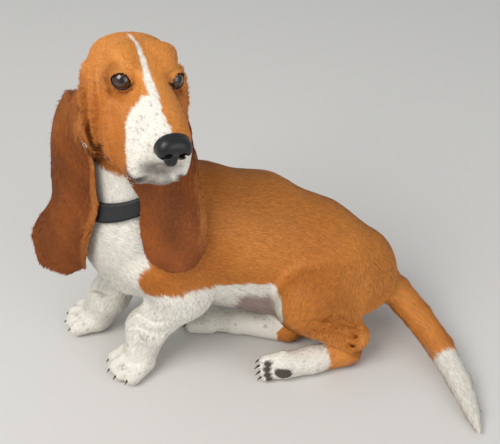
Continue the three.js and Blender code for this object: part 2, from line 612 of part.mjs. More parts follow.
// The collar: for each direction round the neck, a strip that stands on the skin found along that ray.
function collarSolid() {
  const steps = 32;
  const axis = vec(COLLAR_AXIS).normalize();
  const side = new THREE.Vector3(1, 0, 0).addScaledVector(axis, -axis.x).normalize();
  const front = axis.clone().cross(side);
  const section = [[0, -1], [1, -1], [1, 1], [0, 1]];
  const positions = [], triangles = [];
  for (let i = 0; i < steps; i += 1) {
    const angle = 2 * Math.PI * i / steps;
    const ray = side.clone().multiplyScalar(Math.cos(angle)).addScaledVector(front, Math.sin(angle));
    for (const [out, rise] of section) {
      const foot = vec(COLLAR_MID).addScaledVector(axis, rise * COLLAR_HEIGHT / 2);
      let near = 20, far = 110;
      while (far - near > 0.05) {
        const mid = (near + far) / 2;
        const p = foot.clone().addScaledVector(ray, mid);
        if (bodyDistance(p.x, p.y, p.z) < COLLAR_CLEAR) near = mid; else far = mid;
      }
      positions.push(...foot.addScaledVector(ray, far + out * COLLAR_THICK).toArray());
    }
    const next = (i + 1) % steps;
    for (let j = 0; j < 4; j += 1) {
      const k = (j + 1) % 4;
      triangles.push(i * 4 + j, next * 4 + j, next * 4 + k, i * 4 + j, next * 4 + k, i * 4 + k);
    }
  }
  let solid = makeSolid(new Float32Array(positions), new Uint32Array(triangles));
  if (solid.volume() < 0) solid = makeSolid(new Float32Array(positions), new Uint32Array(triangles.reverse()));
  return solid;
}

// Blunt claws on the toes of a paw, sunk into the toe tips.
function clawSolids(rows, droop) {
  return rows.map(([root, tip]) => {
    const ahead = vec(tip).sub(vec(root)).normalize();
    const turn = new THREE.Quaternion().setFromUnitVectors(new THREE.Vector3(0, 1, 0),
      ahead.clone().add(new THREE.Vector3(0, 0, droop)).normalize());
    const place = vec(tip).addScaledVector(ahead, 11).add(new THREE.Vector3(0, 0, -3));
    return solidOf(new THREE.CylinderGeometry(1.2, 3, 12, 6), new THREE.Matrix4().compose(
      place, turn, new THREE.Vector3(1, 1, 1)));
  });
}

const solids = partedBody();
const nose = largest(noseForm(0).subtract(nostrilCut(1)).subtract(nostrilCut(-1)));
let head = solids.head.subtract(noseForm(2 * GAP));
for (const side of [1, -1]) {
  head = head.add(lidSolid(side, 62, 26)).add(lidSolid(side, -62, -20));
  head = head.subtract(ball(eyeCentre(side), EYE_RADIUS + GAP, 3)).subtract(mouthCut(side));
}
solids.head = largest(head);
solids.nose = nose;
solids.left_eye = ball(eyeCentre(1), EYE_RADIUS, 2);
solids.right_eye = ball(eyeCentre(-1), EYE_RADIUS, 2);
solids.collar = collarSolid();

const headGrown = skinMesh((x, y, z) => bodyDistance(x, y, z) - GAP - 0.3,
  [-170, -260, 300], [160, 20, 520], CELL.head);
const neckGrown = skinMesh((x, y, z) => bodyDistance(x, y, z) - NECK_CLEAR,
  [-170, -260, 290], [160, 20, 368], CELL.head);
const keepOff = headGrown.add(neckGrown);
for (const [side, ear] of Object.entries(EARS)) solids[`${side}_ear`] = earSolid(ear, keepOff);

const clawRows = {
  left_forepaw: [FORE_TOES.left, -0.5], right_forepaw: [FORE_TOES.right, -0.5],
  left_hind_foot: [LEFT_HIND_TOES, 0], right_hind_foot: [RIGHT_HIND_TOES, -0.5],
};
for (const [name, [rows, droop]] of Object.entries(clawRows)) {
  let paw = solids[name];
  for (const claw of clawSolids(rows, droop)) paw = paw.add(claw);
  solids[name] = largest(paw.subtract(FLOOR));
}

// A solid's mesh with corners closer than the weld distance made one, and the slivers between them dropped.
function weldedGeometry(solid) {
  const { vertProperties, triVerts } = solid.getMesh();
  const loose = new THREE.BufferGeometry();
  loose.setAttribute('position', new THREE.BufferAttribute(new Float32Array(vertProperties), 3));
  loose.setIndex(new THREE.BufferAttribute(new Uint32Array(triVerts), 1));
  const geometry = mergeVertices(loose, WELD);
  const corners = geometry.index.array;
  const kept = [];
  for (let t = 0; t < corners.length; t += 3) {
    const [a, b, c] = corners.slice(t, t + 3);
    if (a !== b && b !== c && c !== a) kept.push(a, b, c);
  }
  geometry.setIndex(kept);
  return geometry;
}

const COLOURS = Object.fromEntries(REGIONS.map(({ name, colour }) => [name, colour]));
Object.assign(COLOURS, { nose: 'black', left_eye: 'eye', right_eye: 'eye', left_ear: 'ear', right_ear: 'ear',
  collar: 'strap' });
const ROUGH = { tan: 0.75, ear: 0.7, white: 0.8, black: 0.35, eye: 0.05, strap: 0.6 };

const basset = new THREE.Group();
for (const [name, solid] of Object.entries(solids)) {
  const geometry = weldedGeometry(solid);
  const colour = COLOURS[name];
  const material = new THREE.MeshStandardMaterial({ color: COAT[colour], roughness: ROUGH[colour], metalness: 0 });
  const mesh = new THREE.Mesh(geometry, material);
  mesh.name = name;
  basset.add(mesh);
}
const extent = new THREE.Box3().setFromObject(basset);
const middle = extent.getCenter(new THREE.Vector3());
basset.position.set(-middle.x, -middle.y, 0);

export default basset;
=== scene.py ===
# %% [markdown]
# # A young basset hound, sitting
# This lesson dresses a life-size model of a basset hound. The construction gives the solids and their
# places, and here one smooth skin takes their place, with folds, lids, eyes, a wet nose and a short coat.
# A living form has no flat faces, so it is worked out as a distance field: tapered limbs whose distances
# are blended, which is how muscle and skin run into one another.
#
# ## Two frames
# The tables are in the dog's millimetres: it faces -y, its left side is +x and z is up. The head has a frame
# of its own, turned and tilted to where the dog looks, so that a lid or a lip is told along the muzzle.

# %% The frame that the construction gives
import bpy
import numpy as np
from mathutils import Matrix, Vector


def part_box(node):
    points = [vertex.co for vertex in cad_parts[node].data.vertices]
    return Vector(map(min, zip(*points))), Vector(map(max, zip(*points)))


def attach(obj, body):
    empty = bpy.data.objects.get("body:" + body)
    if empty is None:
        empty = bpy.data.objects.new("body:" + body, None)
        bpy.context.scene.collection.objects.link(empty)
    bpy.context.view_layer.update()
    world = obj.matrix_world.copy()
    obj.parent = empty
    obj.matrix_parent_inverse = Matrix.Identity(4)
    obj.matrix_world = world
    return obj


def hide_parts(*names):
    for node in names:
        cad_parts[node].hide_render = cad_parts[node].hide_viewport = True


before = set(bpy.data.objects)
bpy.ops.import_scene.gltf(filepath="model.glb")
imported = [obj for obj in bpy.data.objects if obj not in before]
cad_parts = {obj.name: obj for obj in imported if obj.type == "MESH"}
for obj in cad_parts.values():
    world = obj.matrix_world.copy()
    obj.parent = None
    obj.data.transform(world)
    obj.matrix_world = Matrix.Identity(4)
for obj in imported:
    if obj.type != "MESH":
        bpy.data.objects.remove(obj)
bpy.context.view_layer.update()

MM = 0.001
rng = np.random.default_rng(7)

# the head's own frame: x forwards along the muzzle, y to the dog's left, z up, in millimetres
EYE_MID = np.array([-10.0, -121.0, 441.0])
HEAD_YAW, HEAD_PITCH, HEAD_ROLL = np.radians([4, 1, 13])
FORE = np.array([np.cos(HEAD_PITCH) * np.cos(HEAD_YAW), np.cos(HEAD_PITCH) * np.sin(HEAD_YAW),
                 np.sin(HEAD_PITCH)])
LEVEL = np.array([-np.sin(HEAD_YAW), np.cos(HEAD_YAW), 0])
UPRIGHT = np.cross(FORE, LEVEL)
LEFT = LEVEL * np.cos(HEAD_ROLL) - UPRIGHT * np.sin(HEAD_ROLL)
CROWN = UPRIGHT * np.cos(HEAD_ROLL) + LEVEL * np.sin(HEAD_ROLL)
EYE_RADIUS = 11.5
EYE_PLACE = (5.5, 30.0, 5.0)


def head_point(x, y, z):
    """A place in the head's frame, carried to the dog's: the middle of the eyes plus x, y and z steps
    along the head's three directions."""
    return EYE_MID + FORE * x + LEFT * y + CROWN * z


# The construction puts the dog's box in the middle of the floor: the left eye shows how far it was moved.
eye_box = np.array(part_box("left_eye"))
SHIFT = eye_box.mean(0) / MM - head_point(*EYE_PLACE)
SHIFT[2] = 0
print("dog moved by", SHIFT.round(1), "mm")

# %% [markdown]
# ## Distances that blend
# Each limb is a tapered capsule with an oval section. Where two meet, the smaller distance is taken and
# rounded, so that the join has the radius that flesh has there. The field is kept on a grid, and each limb
# only fills the part of the grid near it, so that a fine grid stays quick.

# %% The field
FAR = 60.0


def soft_min(a, b, radius):
    """The smaller of two distances, less h squared times a quarter of the radius, where h goes from 1 where
    the two are equal to 0 where they differ by the radius."""
    h = np.maximum(radius - np.abs(a - b), 0) / radius
    return np.minimum(a, b) - h * h * radius * 0.25


class Field:
    """Distances to the skin at the corners of a grid of cubes."""

    def __init__(self, low, high, cell):
        self.low = np.array(low, float)
        self.cell = cell
        self.count = np.ceil((np.array(high) - self.low) / cell).astype(int) + 1
        self.axes = [self.low[i] + cell * np.arange(self.count[i]) for i in range(3)]
        self.value = np.full(self.count, FAR, np.float32)

    def blank(self):
        """Another field on the same grid, with nothing in it."""
        return Field(self.low, self.low + (self.count - 1) * self.cell - 0.01 * self.cell, self.cell)

    def window(self, low, high):
        """The part of the grid within a box, and the coordinates of its corners."""
        first = np.clip(np.floor((np.array(low) - self.low) / self.cell).astype(int), 0, self.count)
        last = np.clip(np.ceil((np.array(high) - self.low) / self.cell).astype(int) + 1, 0, self.count)
        part = tuple(slice(a, b) for a, b in zip(first, last))
        grid = np.meshgrid(*[self.axes[i][part[i]] for i in range(3)], indexing="ij", sparse=True)
        return (part, grid) if (last > first).all() else (None, None)

    def add(self, form, blend):
        """Joins a form, (distance, low corner, high corner), with a rounded join."""
        distance, low, high = form
        part, grid = self.window(low - blend, high + blend)
        if part is not None:
            self.value[part] = soft_min(self.value[part], distance(*grid).astype(np.float32), blend)

    def cut(self, form, blend):
        """Takes a form away, with a rounded edge."""
        distance, low, high = form
        part, grid = self.window(low - blend, high + blend)
        if part is not None:
            self.value[part] = -soft_min(-self.value[part], distance(*grid).astype(np.float32), blend)

    def merge(self, other, blend):
        self.value = soft_min(self.value, other.value, blend)

    def sample(self, points):
        """The field at any points, mixed from the eight grid corners round each."""
        at = np.clip((points - self.low) / self.cell, 0, self.count - 1.001)
        base = np.floor(at).astype(int)
        t = at - base
        result = 0
        for corner in np.ndindex(2, 2, 2):
            weight = np.prod(np.where(corner, t, 1 - t), axis=-1)
            i, j, k = (base + corner).T
            result = result + weight * self.value[i, j, k].T
        return result

    def slope(self, points, reach=1.5):
        """The direction in which the field grows fastest, by differences either side of each point."""
        steps = np.eye(3) * reach
        rise = np.stack([self.sample(points + s) - self.sample(points - s) for s in steps], -1)
        return rise / (np.linalg.norm(rise, axis=-1, keepdims=True) + 1e-9)


test_field = Field((0, 0, 0), (10, 20, 30), 2.0)
print("a test field of", test_field.count.tolist(), "corners, all", test_field.value.min(), "mm outside")

# %% [markdown]
# ## Limbs, curves and folds
# A leg or a muscle is a tapered capsule with an oval section. Profiles and folds follow smooth curves
# through a few places, as a modeller's wire would, so a form needs only the places its shape asks for.

# %% Limbs and curves
def limb(start, end, start_size, end_size, up=(0, 0, 1)):
    """A tapered capsule: at a share t of its length the section is an oval whose half width and half height
    go straight from one end's to the other's. The distance is k0 (k0 - 1) / k1, with k0 the length of the
    place divided by the radii, and k1 that of the place divided by their squares."""
    a, b, up = np.array(start, float), np.array(end, float), np.array(up, float)
    length = max(np.linalg.norm(b - a), 1e-6)
    axis = (b - a) / length
    up = up - axis * (up @ axis)
    if np.linalg.norm(up) < 0.05:
        up = np.array([1.0, 0, 0]) - axis * axis[0]
    up /= np.linalg.norm(up)
    side = np.cross(up, axis)
    r0, r1 = np.broadcast_to(np.array(start_size, float), 2), np.broadcast_to(np.array(end_size, float), 2)

    def distance(x, y, z):
        p = (x - a[0], y - a[1], z - a[2])
        along = p[0] * axis[0] + p[1] * axis[1] + p[2] * axis[2]
        t = np.clip(along / length, 0, 1)
        wide, high = r0[0] + (r1[0] - r0[0]) * t, r0[1] + (r1[1] - r0[1]) * t
        cap = np.minimum(wide, high)
        u = (p[0] * side[0] + p[1] * side[1] + p[2] * side[2]) / wide
        v = (p[0] * up[0] + p[1] * up[1] + p[2] * up[2]) / high
        w = (along - t * length) / cap
        k0 = np.sqrt(u * u + v * v + w * w) + 1e-6
        k1 = np.sqrt((u / wide) ** 2 + (v / high) ** 2 + (w / cap) ** 2) + 1e-9
        return k0 * (k0 - 1) / k1

    reach = max(r0.max(), r1.max()) + 2
    return distance, np.minimum(a, b) - reach, np.maximum(a, b) + reach


def head_limb(start, end, start_size, end_size, side=1):
    """A limb given in the head's frame, on the left side, or on the right with side -1."""
    return limb(head_point(start[0], start[1] * side, start[2]), head_point(end[0], end[1] * side, end[2]),
                start_size, end_size, CROWN)


def smooth_rows(rows):
    """Rows (x, values ...) read as a smooth curve: between two rows a cubic whose slope at each row is that
    of its neighbours."""
    table = np.array(rows, float)
    x, v = table[:, 0], table[:, 1:]
    slope = np.gradient(v, x, axis=0)

    def read(at):
        q = np.clip(np.asarray(at, float), x[0], x[-1])
        i = np.clip(np.searchsorted(x, q, side="right") - 1, 0, len(x) - 2)
        h, t = (x[i + 1] - x[i])[..., None], ((q - x[i]) / (x[i + 1] - x[i]))[..., None]
        value = ((2 * t**3 - 3 * t**2 + 1) * v[i] + (t**3 - 2 * t**2 + t) * h * slope[i]
                 + (3 * t**2 - 2 * t**3) * v[i + 1] + (t**3 - t**2) * h * slope[i + 1])
        return np.moveaxis(value, -1, 0)

    return read


def path_forms(points, size, head=False, side=1, steps=10, taper=True):
    """A bent fold: short round limbs along a smooth curve through a few points, thinner at both ends."""
    curve = smooth_rows([(i, *p) for i, p in enumerate(points)])
    at = np.linspace(0, len(points) - 1, steps)
    line = curve(at).T
    thick = size * (0.35 + 0.65 * np.sin(np.pi * np.clip(at / at[-1], 0.02, 0.98)) if taper else 1 + 0 * at)
    make = (lambda *a: head_limb(*a, side)) if head else limb
    return [make(line[i], line[i + 1], thick[i], thick[i + 1]) for i in range(steps - 1)]


middle_distance = limb((0, 0, 0), (100, 0, 0), 10, 20)[0](50.0, 0.0, 15.0)
print("halfway along a limb of 10 to 20 mm, 15 mm out, the distance is", round(float(middle_distance), 2))

# %% [markdown]
# ## The dog's forms
# Each row is one mass of the body: where it starts and ends, its half width and half height at both ends,
# and the radius of its join with what is there already. The rows are those of the construction, so the
# skin fits inside the solids. Only the toes of the left hind foot are thinner here, to show apart. The
# pose is a lazy sit: the right haunch rests on the floor, both hind legs lie to the dog's left, and the
# head is turned to the left.

# %% Trunk, neck and tail
TRUNK = [
    ((-50, -122, 197), (-46, -70, 179), (70, 84), (76, 92), 30),
    ((-46, -70, 179), (-34, 15, 158), (76, 92), (73, 84), 30),
    ((-34, 15, 158), (-4, 86, 131), (73, 84), (66, 73), 30),
    ((-4, 86, 131), (28, 138, 103), (66, 73), (67, 68), 30),
    ((-48, -165, 185), (-48, -150, 148), (46, 46), (46, 46), 40),
    ((-50, -148, 212), (-54, -124, 236), (58, 50), (60, 56), 30),
    ((-30, -30, 106), (6, 62, 78), (54, 46), (52, 50), 30),
]
NECK = [
    ((-54, -138, 235), (-62, -132, 310), (60, 58), (54, 54), 40),
    ((-62, -132, 310), (-62, -120, 385), (54, 54), (52, 50), 25),
]
TAIL = [
    ((34, 168, 92), (60, 197, 72), (28, 28), (23, 23), 3),
    ((60, 197, 72), (94, 217, 48), (23, 23), (20.5, 20.5), 3),
    ((94, 217, 48), (142, 229, 29), (20.5, 20.5), (19, 19), 3),
    ((142, 229, 29), (200, 230, 17), (19, 19), (16.5, 16.5), 3),
    ((200, 230, 17), (245, 223, 11), (16.5, 16.5), (11.5, 11.5), 3),
    ((245, 223, 11), (274, 218, 6), (11.5, 11.5), (5, 5), 3),
]
trunk_length = np.linalg.norm(np.array(TRUNK[3][1]) - TRUNK[0][0])
print("trunk", len(TRUNK), "masses,", round(trunk_length), "mm from the chest to the hips")

# %% [markdown]
# ## Legs and toes
# A basset's legs are short and thick, with broad feet turned out. The left hock is doubled up in front of
# the haunch, and the right hind leg comes out from under the belly. Toes are short limbs, fanned at the
# end of each foot.

# %% Legs and toes
LEFT_THIGH = [
    ((42, 120, 110), (64, 62, 110), (54, 66), (46, 56), 20),
    ((68, 62, 104), (100, 112, 46), (42, 46), (24, 28), 22),
]
LEFT_HOCK = [
    ((103, 108, 20), (98, 56, 18.5), (20, 22), (19, 20), 10),
    ((98, 56, 18.5), (97, 14, 21), (19, 20), (18, 23), 10),
]
RIGHT_THIGH = [
    ((-14, 128, 49), (-30, 62, 45), (57, 53), (44, 46), 20),
    ((-22, 60, 48), (30, 56, 26), (36, 38), (24, 25), 20),
]
RIGHT_HOCK = [
    ((34, 46, 18), (-8, -18, 16.5), (19, 20), (17, 18), 10),
    ((-8, -18, 16.5), (-26, -50, 15.5), (17, 18), (20, 17), 10),
]
FORELEGS = {
    "left": dict(shoulder=(6, -122, 180), elbow=(20, -100, 128), wrist=(2, -150, 64),
                 foot=(8, -166, 22), toes=(20, -206, 12)),
    "right": dict(shoulder=(-104, -132, 185), elbow=(-108, -122, 130), wrist=(-76, -186, 64),
                  foot=(-90, -204, 22), toes=(-106, -244, 12)),
}
PRESS = 2


def toe_rows(foot, toes, spread, reach, size):
    """Four toes fanned in front of a foot, the middle two the longest."""
    foot = np.array(foot, float)
    ahead = np.array(toes, float) - foot
    ahead /= np.linalg.norm(ahead)
    across = np.cross([0, 0, 1], ahead)
    rows = []
    for place, length in ((-1.5, 0.76), (-0.5, 1), (0.5, 1), (1.5, 0.76)):
        root = foot + across * place * spread * 0.95 - [0, 0, 3]
        tip = foot + ahead * length * reach + across * place * spread * 1.2
        tip[2] = size[1] - PRESS
        rows.append((root, tip, (size[0], size[1] + 2), size, 5))
    return rows


FORE_TOES = {side: toe_rows(leg["foot"], leg["toes"], 13, 36, (12, 13)) for side, leg in FORELEGS.items()}
RIGHT_HIND_TOES = toe_rows((-26, -50, 16), (-48, -84, 11), 9, 34, (10, 12))
# the left hind foot lies on its side, so its toes are fanned upwards
LEFT_HIND_TOES = [
    ((97 - p * 2, 16, 24 + p * 10), (94 - p * 3, -6 - 8 * reach, 22 + p * 9), (8.5, 9), (8, 8), 2.5)
    for p, reach in ((-1.4, 0.8), (-0.5, 1), (0.5, 1), (1.4, 0.8))]


def foreleg_rows(side):
    """Shoulder to elbow, elbow to wrist and wrist to foot, with the direction that each is deep in."""
    leg = FORELEGS[side]
    return [(leg["shoulder"], leg["elbow"], (38, 52), (32, 38), 20, (0, 1, 0)),
            (leg["elbow"], leg["wrist"], (32, 36), (27, 29), 18, (0, -1, 0)),
            (leg["wrist"], leg["foot"], (27, 28), (29, 24), 12, (0, -1, 0))]


# name, rows, radius of the join with the body
LIMB_GROUPS = [("left_foreleg", foreleg_rows("left") + FORE_TOES["left"], 16),
               ("right_foreleg", foreleg_rows("right") + FORE_TOES["right"], 16),
               ("left_thigh", LEFT_THIGH, 10), ("left_hock", LEFT_HOCK + LEFT_HIND_TOES, 6),
               ("right_thigh", RIGHT_THIGH, 20), ("right_hock", RIGHT_HOCK + RIGHT_HIND_TOES, 4),
               ("tail", TAIL, 14)]
print({name: len(rows) for name, rows, _ in LIMB_GROUPS})

# %% [markdown]
# ## The head
# A hound's skull is narrow and domed, with a long deep muzzle. A row of sections along it gives the top, the
# underside and the width, and pairs of limbs add the cheeks, the hanging lips, the loose skin below the ears
# and the brows. A shallow pit on each side takes the eye.

# %% The head: skull, cheeks, hanging lips and brows
SKULL = [  # x, top, underside, half width, height of the widest place
    (-92, 12, -40, 36, -8), (-76, 25, -54, 46, -8), (-54, 34, -66, 50, -8), (-30, 36, -74, 51, -12),
    (-8, 31, -76, 47, -18), (10, 21, -74, 40, -28), (30, 10, -70, 34, -34), (60, 1, -66, 32, -36),
    (76, -3, -63, 30, -36), (86, -8, -56, 27, -36),
]
SKULL_END = 15
SKULL_POWER = 2.25
FACE_PAIRS = [
    ((-24, 37, -40), (24, 32, -64), (15, 33), (14, 35), 16),
    ((-48, 40, -16), (-40, 42, -84), (16, 17), (15, 18), 16),
    ((-30, 40, -12), (14, 33, -22), (13, 14), (9, 10), 14),
    ((20, 29, -61), (76, 22, -62), (13, 37), (13, 26), 14),
    ((-20, 24, 24), (6, 24, 19), (16, 11), (10, 8), 14),
    ((78, 10, -32), (90, 9, -31), (15, 17), (11, 13), 10),
]
FACE_MIDDLE = [
    ((0, 0, 8), (90, 0, -17), (18, 16), (19, 12), 14),
    ((20, 0, -79), (84, 0, -76), (24, 12), (18, 9), 10),
]
ORBIT = ((22, 30, 5), (8, 40, 3), (11, 13), (12, 14))


def skull_form():
    """Rounded sections along the head: a place is inside where the sum of (y / half width), (z / half
    height) and (how far past the end / the end's length), each to one power, is under 1."""
    section = smooth_rows(SKULL)

    def distance(x, y, z):
        p = (x - EYE_MID[0], y - EYE_MID[1], z - EYE_MID[2])
        px, py, pz = (p[0] * d[0] + p[1] * d[1] + p[2] * d[2] for d in (FORE, LEFT, CROWN))
        along = np.clip(px, SKULL[0][0], SKULL[-1][0])
        top, bottom, half, widest = section(along)
        height = np.where(pz > widest, top - widest, widest - bottom)
        k = (np.abs(py / half) ** SKULL_POWER + np.abs((pz - widest) / height) ** SKULL_POWER
             + np.abs((px - along) / SKULL_END) ** SKULL_POWER) ** (1 / SKULL_POWER)
        return (k - 1) * np.minimum(np.minimum(half, height), 45) * 0.9

    return distance, EYE_MID - 150, EYE_MID + 150


skull_length = SKULL[-1][0] - SKULL[0][0] + 2 * SKULL_END
print("head", skull_length, "mm long and", 2 * max(row[3] for row in SKULL), "mm wide")

# %% [markdown]
# ## Ears
# Each ear is a long leaf of skin, set low and rolled like a sheet of leather. A row gives its middle, half
# width, the arc through which it is rolled and the direction across it, and small balls set close along
# the sheet thicken it on the same grid as the head, so that its root runs into the head without a seam.
# The upper half of the left ear hangs up to 11 mm closer to the neck than in the construction, because
# its edge would show past the cheek otherwise.

# %% The ears' rows and their sheets
EAR_THICK, EAR_SKIN, EAR_CLEAR = 5, 3.6, 7.5
# share of the length, middle, half width, arc, and the direction across
EARS = {
    "right": ((0.6, -0.8, 0), [
        (0, -56, -172, 430, 20, 0.4, -0.95, 0, -0.2), (0.1, -57, -189, 416, 30, 0.8, -0.88, -0.3, -0.1),
        (0.25, -55, -209, 386, 39, 1.1, -0.82, -0.5, 0), (0.42, -50, -218, 345, 46, 1.1, -0.75, -0.62, 0),
        (0.6, -45, -219, 296, 46, 0.9, -0.68, -0.7, 0), (0.8, -41, -222, 236, 47, 0.7, -0.58, -0.8, 0),
        (0.92, -45, -246, 193, 45, 0.5, -0.5, -0.85, 0.05), (1, -46, -260, 168, 26, 0.3, -0.4, -0.9, 0.1)]),
    "left": ((0.8, 0.6, 0), [
        (0, -62, -76, 404, 18, 0.4, -1, 0, -0.2), (0.12, -78, -78, 386, 24, 0.5, -0.95, 0.2, 0),
        (0.28, -80, -90, 354, 30, 0.7, -0.85, 0.5, 0), (0.45, -52, -103, 322, 36, 0.65, -0.6, 0.8, 0),
        (0.6, 2, -102, 288, 41, 0.6, -0.3, 0.92, 0.05), (0.8, 30, -108, 242, 43, 0.5, -0.1, 0.97, 0.1),
        (0.92, 38, -109, 213, 36, 0.45, -0.05, 1, 0.1), (1, 41, -109, 196, 17, 0.4, 0, 1, 0.1)]),
}


print({side: len(rows) for side, (_, rows) in EARS.items()}, "rows for the ears")


def ear_sheet(side, body, along=240, across=90):
    """Places on the ear's middle layer, as a grid from root to tip and from front to back: the row's middle,
    plus the row's direction times r sin(a v), plus the outward direction times r (cos(a v) - 1), where a is
    the arc and r the half width over it. Those below the root are pushed out clear of the head."""
    outward, rows = EARS[side]
    curve = smooth_rows(rows)
    u, v = np.linspace(0, 1, along), np.linspace(-1, 1, across)
    now = curve(u)
    middle, half, arc, across_dir = now[:3].T, now[3], now[4], now[5:8].T
    down = curve(u + 0.02)[:3].T - curve(u - 0.02)[:3].T
    down /= np.linalg.norm(down, axis=1, keepdims=True)
    across_dir = across_dir - down * (across_dir * down).sum(1, keepdims=True)
    across_dir /= np.linalg.norm(across_dir, axis=1, keepdims=True)
    out = np.cross(down, across_dir)
    out *= np.sign(out @ np.array(outward))[:, None]
    angle, radius = arc[:, None] * v, (half / arc)[:, None]
    sheet = (middle[:, None] + across_dir[:, None] * (radius * np.sin(angle))[..., None]
             + out[:, None] * (radius * (np.cos(angle) - 1))[..., None])
    points = sheet.reshape(-1, 3)
    share = np.repeat(u, across)
    free = np.clip((share - 0.12) / 0.12, 0, 1)
    highest = np.interp(share, (0, 0.05, 0.16, 0.2), (-6, -3, 5, 60))
    for _ in range(3):
        height = body.sample(points)
        near = EAR_CLEAR + EAR_THICK / 2 - height
        step = np.clip(near, 0, 30) * free - np.clip(height - highest, 0, 30)
        points = points + body.slope(points) * step[:, None]
    return points.reshape(along, across, 3)


def add_balls(field, points, radii, blend):
    """Joins many small balls: each grid corner within reach takes the smallest of their distances."""
    other = field.blank()
    reach = int(np.ceil((radii.max() + 3) / field.cell)) + 1
    nearest = np.round((points - field.low) / field.cell).astype(int)
    flat = other.value.reshape(-1)
    span = np.arange(-reach, reach + 1)
    for step in np.stack(np.meshgrid(span, span, span, indexing="ij"), -1).reshape(-1, 3):
        at = nearest + step
        inside = ((at >= 0) & (at < field.count)).all(1)
        at = at[inside]
        away = np.linalg.norm(field.low + at * field.cell - points[inside], axis=1) - radii[inside]
        index = (at[:, 0] * field.count[1] + at[:, 1]) * field.count[2] + at[:, 2]
        np.minimum.at(flat, index, away.astype(np.float32))
    other.value = flat.reshape(field.count)
    field.merge(other, blend)


# %% [markdown]
# ## Two skins that meet under the collar
# The head, its ears and the neck need a fine grid, for the eyelids and folds. The body can be coarser. The
# collar hides where one ends and the other starts, so each is closed there by a plane across the neck.

# %% Filling a field
COLLAR_MID = np.array([-58.0, -135.0, 284.0])
COLLAR_AXIS = np.array([0.0, -0.35, 1.0]) / np.linalg.norm([0.0, -0.35, 1.0])
COAT = 1.4  # the skin lies this far under the coat's tips
HEAD_CELL, BODY_CELL = ((1.5, 2.6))


def fill_body(field):
    """Every mass of the dog but the ears: first the trunk and neck, then the face as a whole, then each leg
    and the tail as a whole, so that the joins inside a limb and those with the body keep their own radii."""
    for start, end, size0, size1, blend in TRUNK:
        field.add(limb(start, end, size0, size1), blend)
    for start, end, size0, size1, blend in NECK:
        field.add(limb(start, end, size0, size1, (1, 0, 0)), blend)
    face = field.blank()
    face.add(skull_form(), 1)
    for start, end, size0, size1, blend in FACE_PAIRS:
        for side in (1, -1):
            face.add(head_limb(start, end, size0, size1, side), blend)
    for start, end, size0, size1, blend in FACE_MIDDLE:
        face.add(head_limb(start, end, size0, size1), blend)
    for side in (1, -1):
        face.cut(head_limb(*ORBIT, side), 10)
    field.merge(face, 22)
    for _, rows, blend in LIMB_GROUPS:
        group = field.blank()
        for start, end, size0, size1, join, *up in rows:
            group.add(limb(start, end, size0, size1, up[0] if up else (0, 0, 1)), join)
        field.merge(group, blend)


def plane_side(field, point, normal):
    """Distance in front of a plane, for every corner of the field."""
    x, y, z = np.meshgrid(*field.axes, indexing="ij", sparse=True)
    away = (x - point[0]) * normal[0] + (y - point[1]) * normal[1] + (z - point[2]) * normal[2]
    return away.astype(np.float32)


print("grid cells of", HEAD_CELL, "mm on the head and", BODY_CELL, "mm on the body")

# %% [markdown]
# ## Folds of the body
# Loose skin gathers in soft ridges over the bent hock, and the pastern above each forepaw has wrinkles. A
# ridge is added and a groove cut along a curve of a few places, both with wide rounded joins.

# %% Folds of the body, and both fields filled

# each a curve on the skin, its size, and ridge (1) or groove (-1)
BODY_FOLDS = [
    ([(102, 40, 118), (107, 62, 120), (107, 88, 108), (104, 112, 84)], 4.2, 1),
    ([(104, 46, 99), (110, 72, 97), (113, 96, 84), (108, 118, 64)], 4.6, 1),
    ([(104, 56, 78), (111, 80, 78), (115, 100, 64), (112, 116, 48)], 4.6, 1),
    ([(104, 44, 109), (110, 68, 109), (112, 92, 96), (109, 114, 74)], 1.5, -1),
    ([(107, 52, 88), (113, 76, 88), (116, 98, 74), (113, 117, 56)], 1.6, -1),
    ([(106, 58, 66), (113, 82, 66), (117, 102, 54), (115, 115, 38)], 1.5, -1),
    ([(9, -162, 97), (31, -147, 100), (45, -128, 110)], 1.8, -1),
    ([(20, -164, 85), (33, -145, 80), (35, -124, 82)], 1.8, -1),
    ([(14, -168, 72), (30, -152, 66), (33, -130, 66)], 1.6, -1),
    ([(-74, -204, 84), (-60, -190, 86), (-52, -176, 90)], 1.6, -1),
]


def add_body_folds(field):
    """Joins the ridges with a radius of 7 mm and cuts the grooves with one of 5 mm."""
    for places, size, kind in BODY_FOLDS:
        for form in path_forms(places, size):
            (field.add if kind > 0 else field.cut)(form, 7 if kind > 0 else 5)


head_field = Field((-175, -275, 150), (150, 10, 515), HEAD_CELL)
fill_body(head_field)
body_field = Field((-160, -275, -9), (290, 262, 330), BODY_CELL)
fill_body(body_field)
add_body_folds(body_field)
print("head grid", head_field.count, "body grid", body_field.count)

sheets = {side: ear_sheet(side, head_field) for side in EARS}

# %% [markdown]
# ## Fine forms of the face
# A basset's skin is too large for it. It gathers in folds between ear and cheek, pulls the lower lid down
# so that its red lining shows, and hangs in lips past the jaw. Folds are soft ridges, and the lines
# between them narrow grooves, each along a curve of a few places in the head's frame.

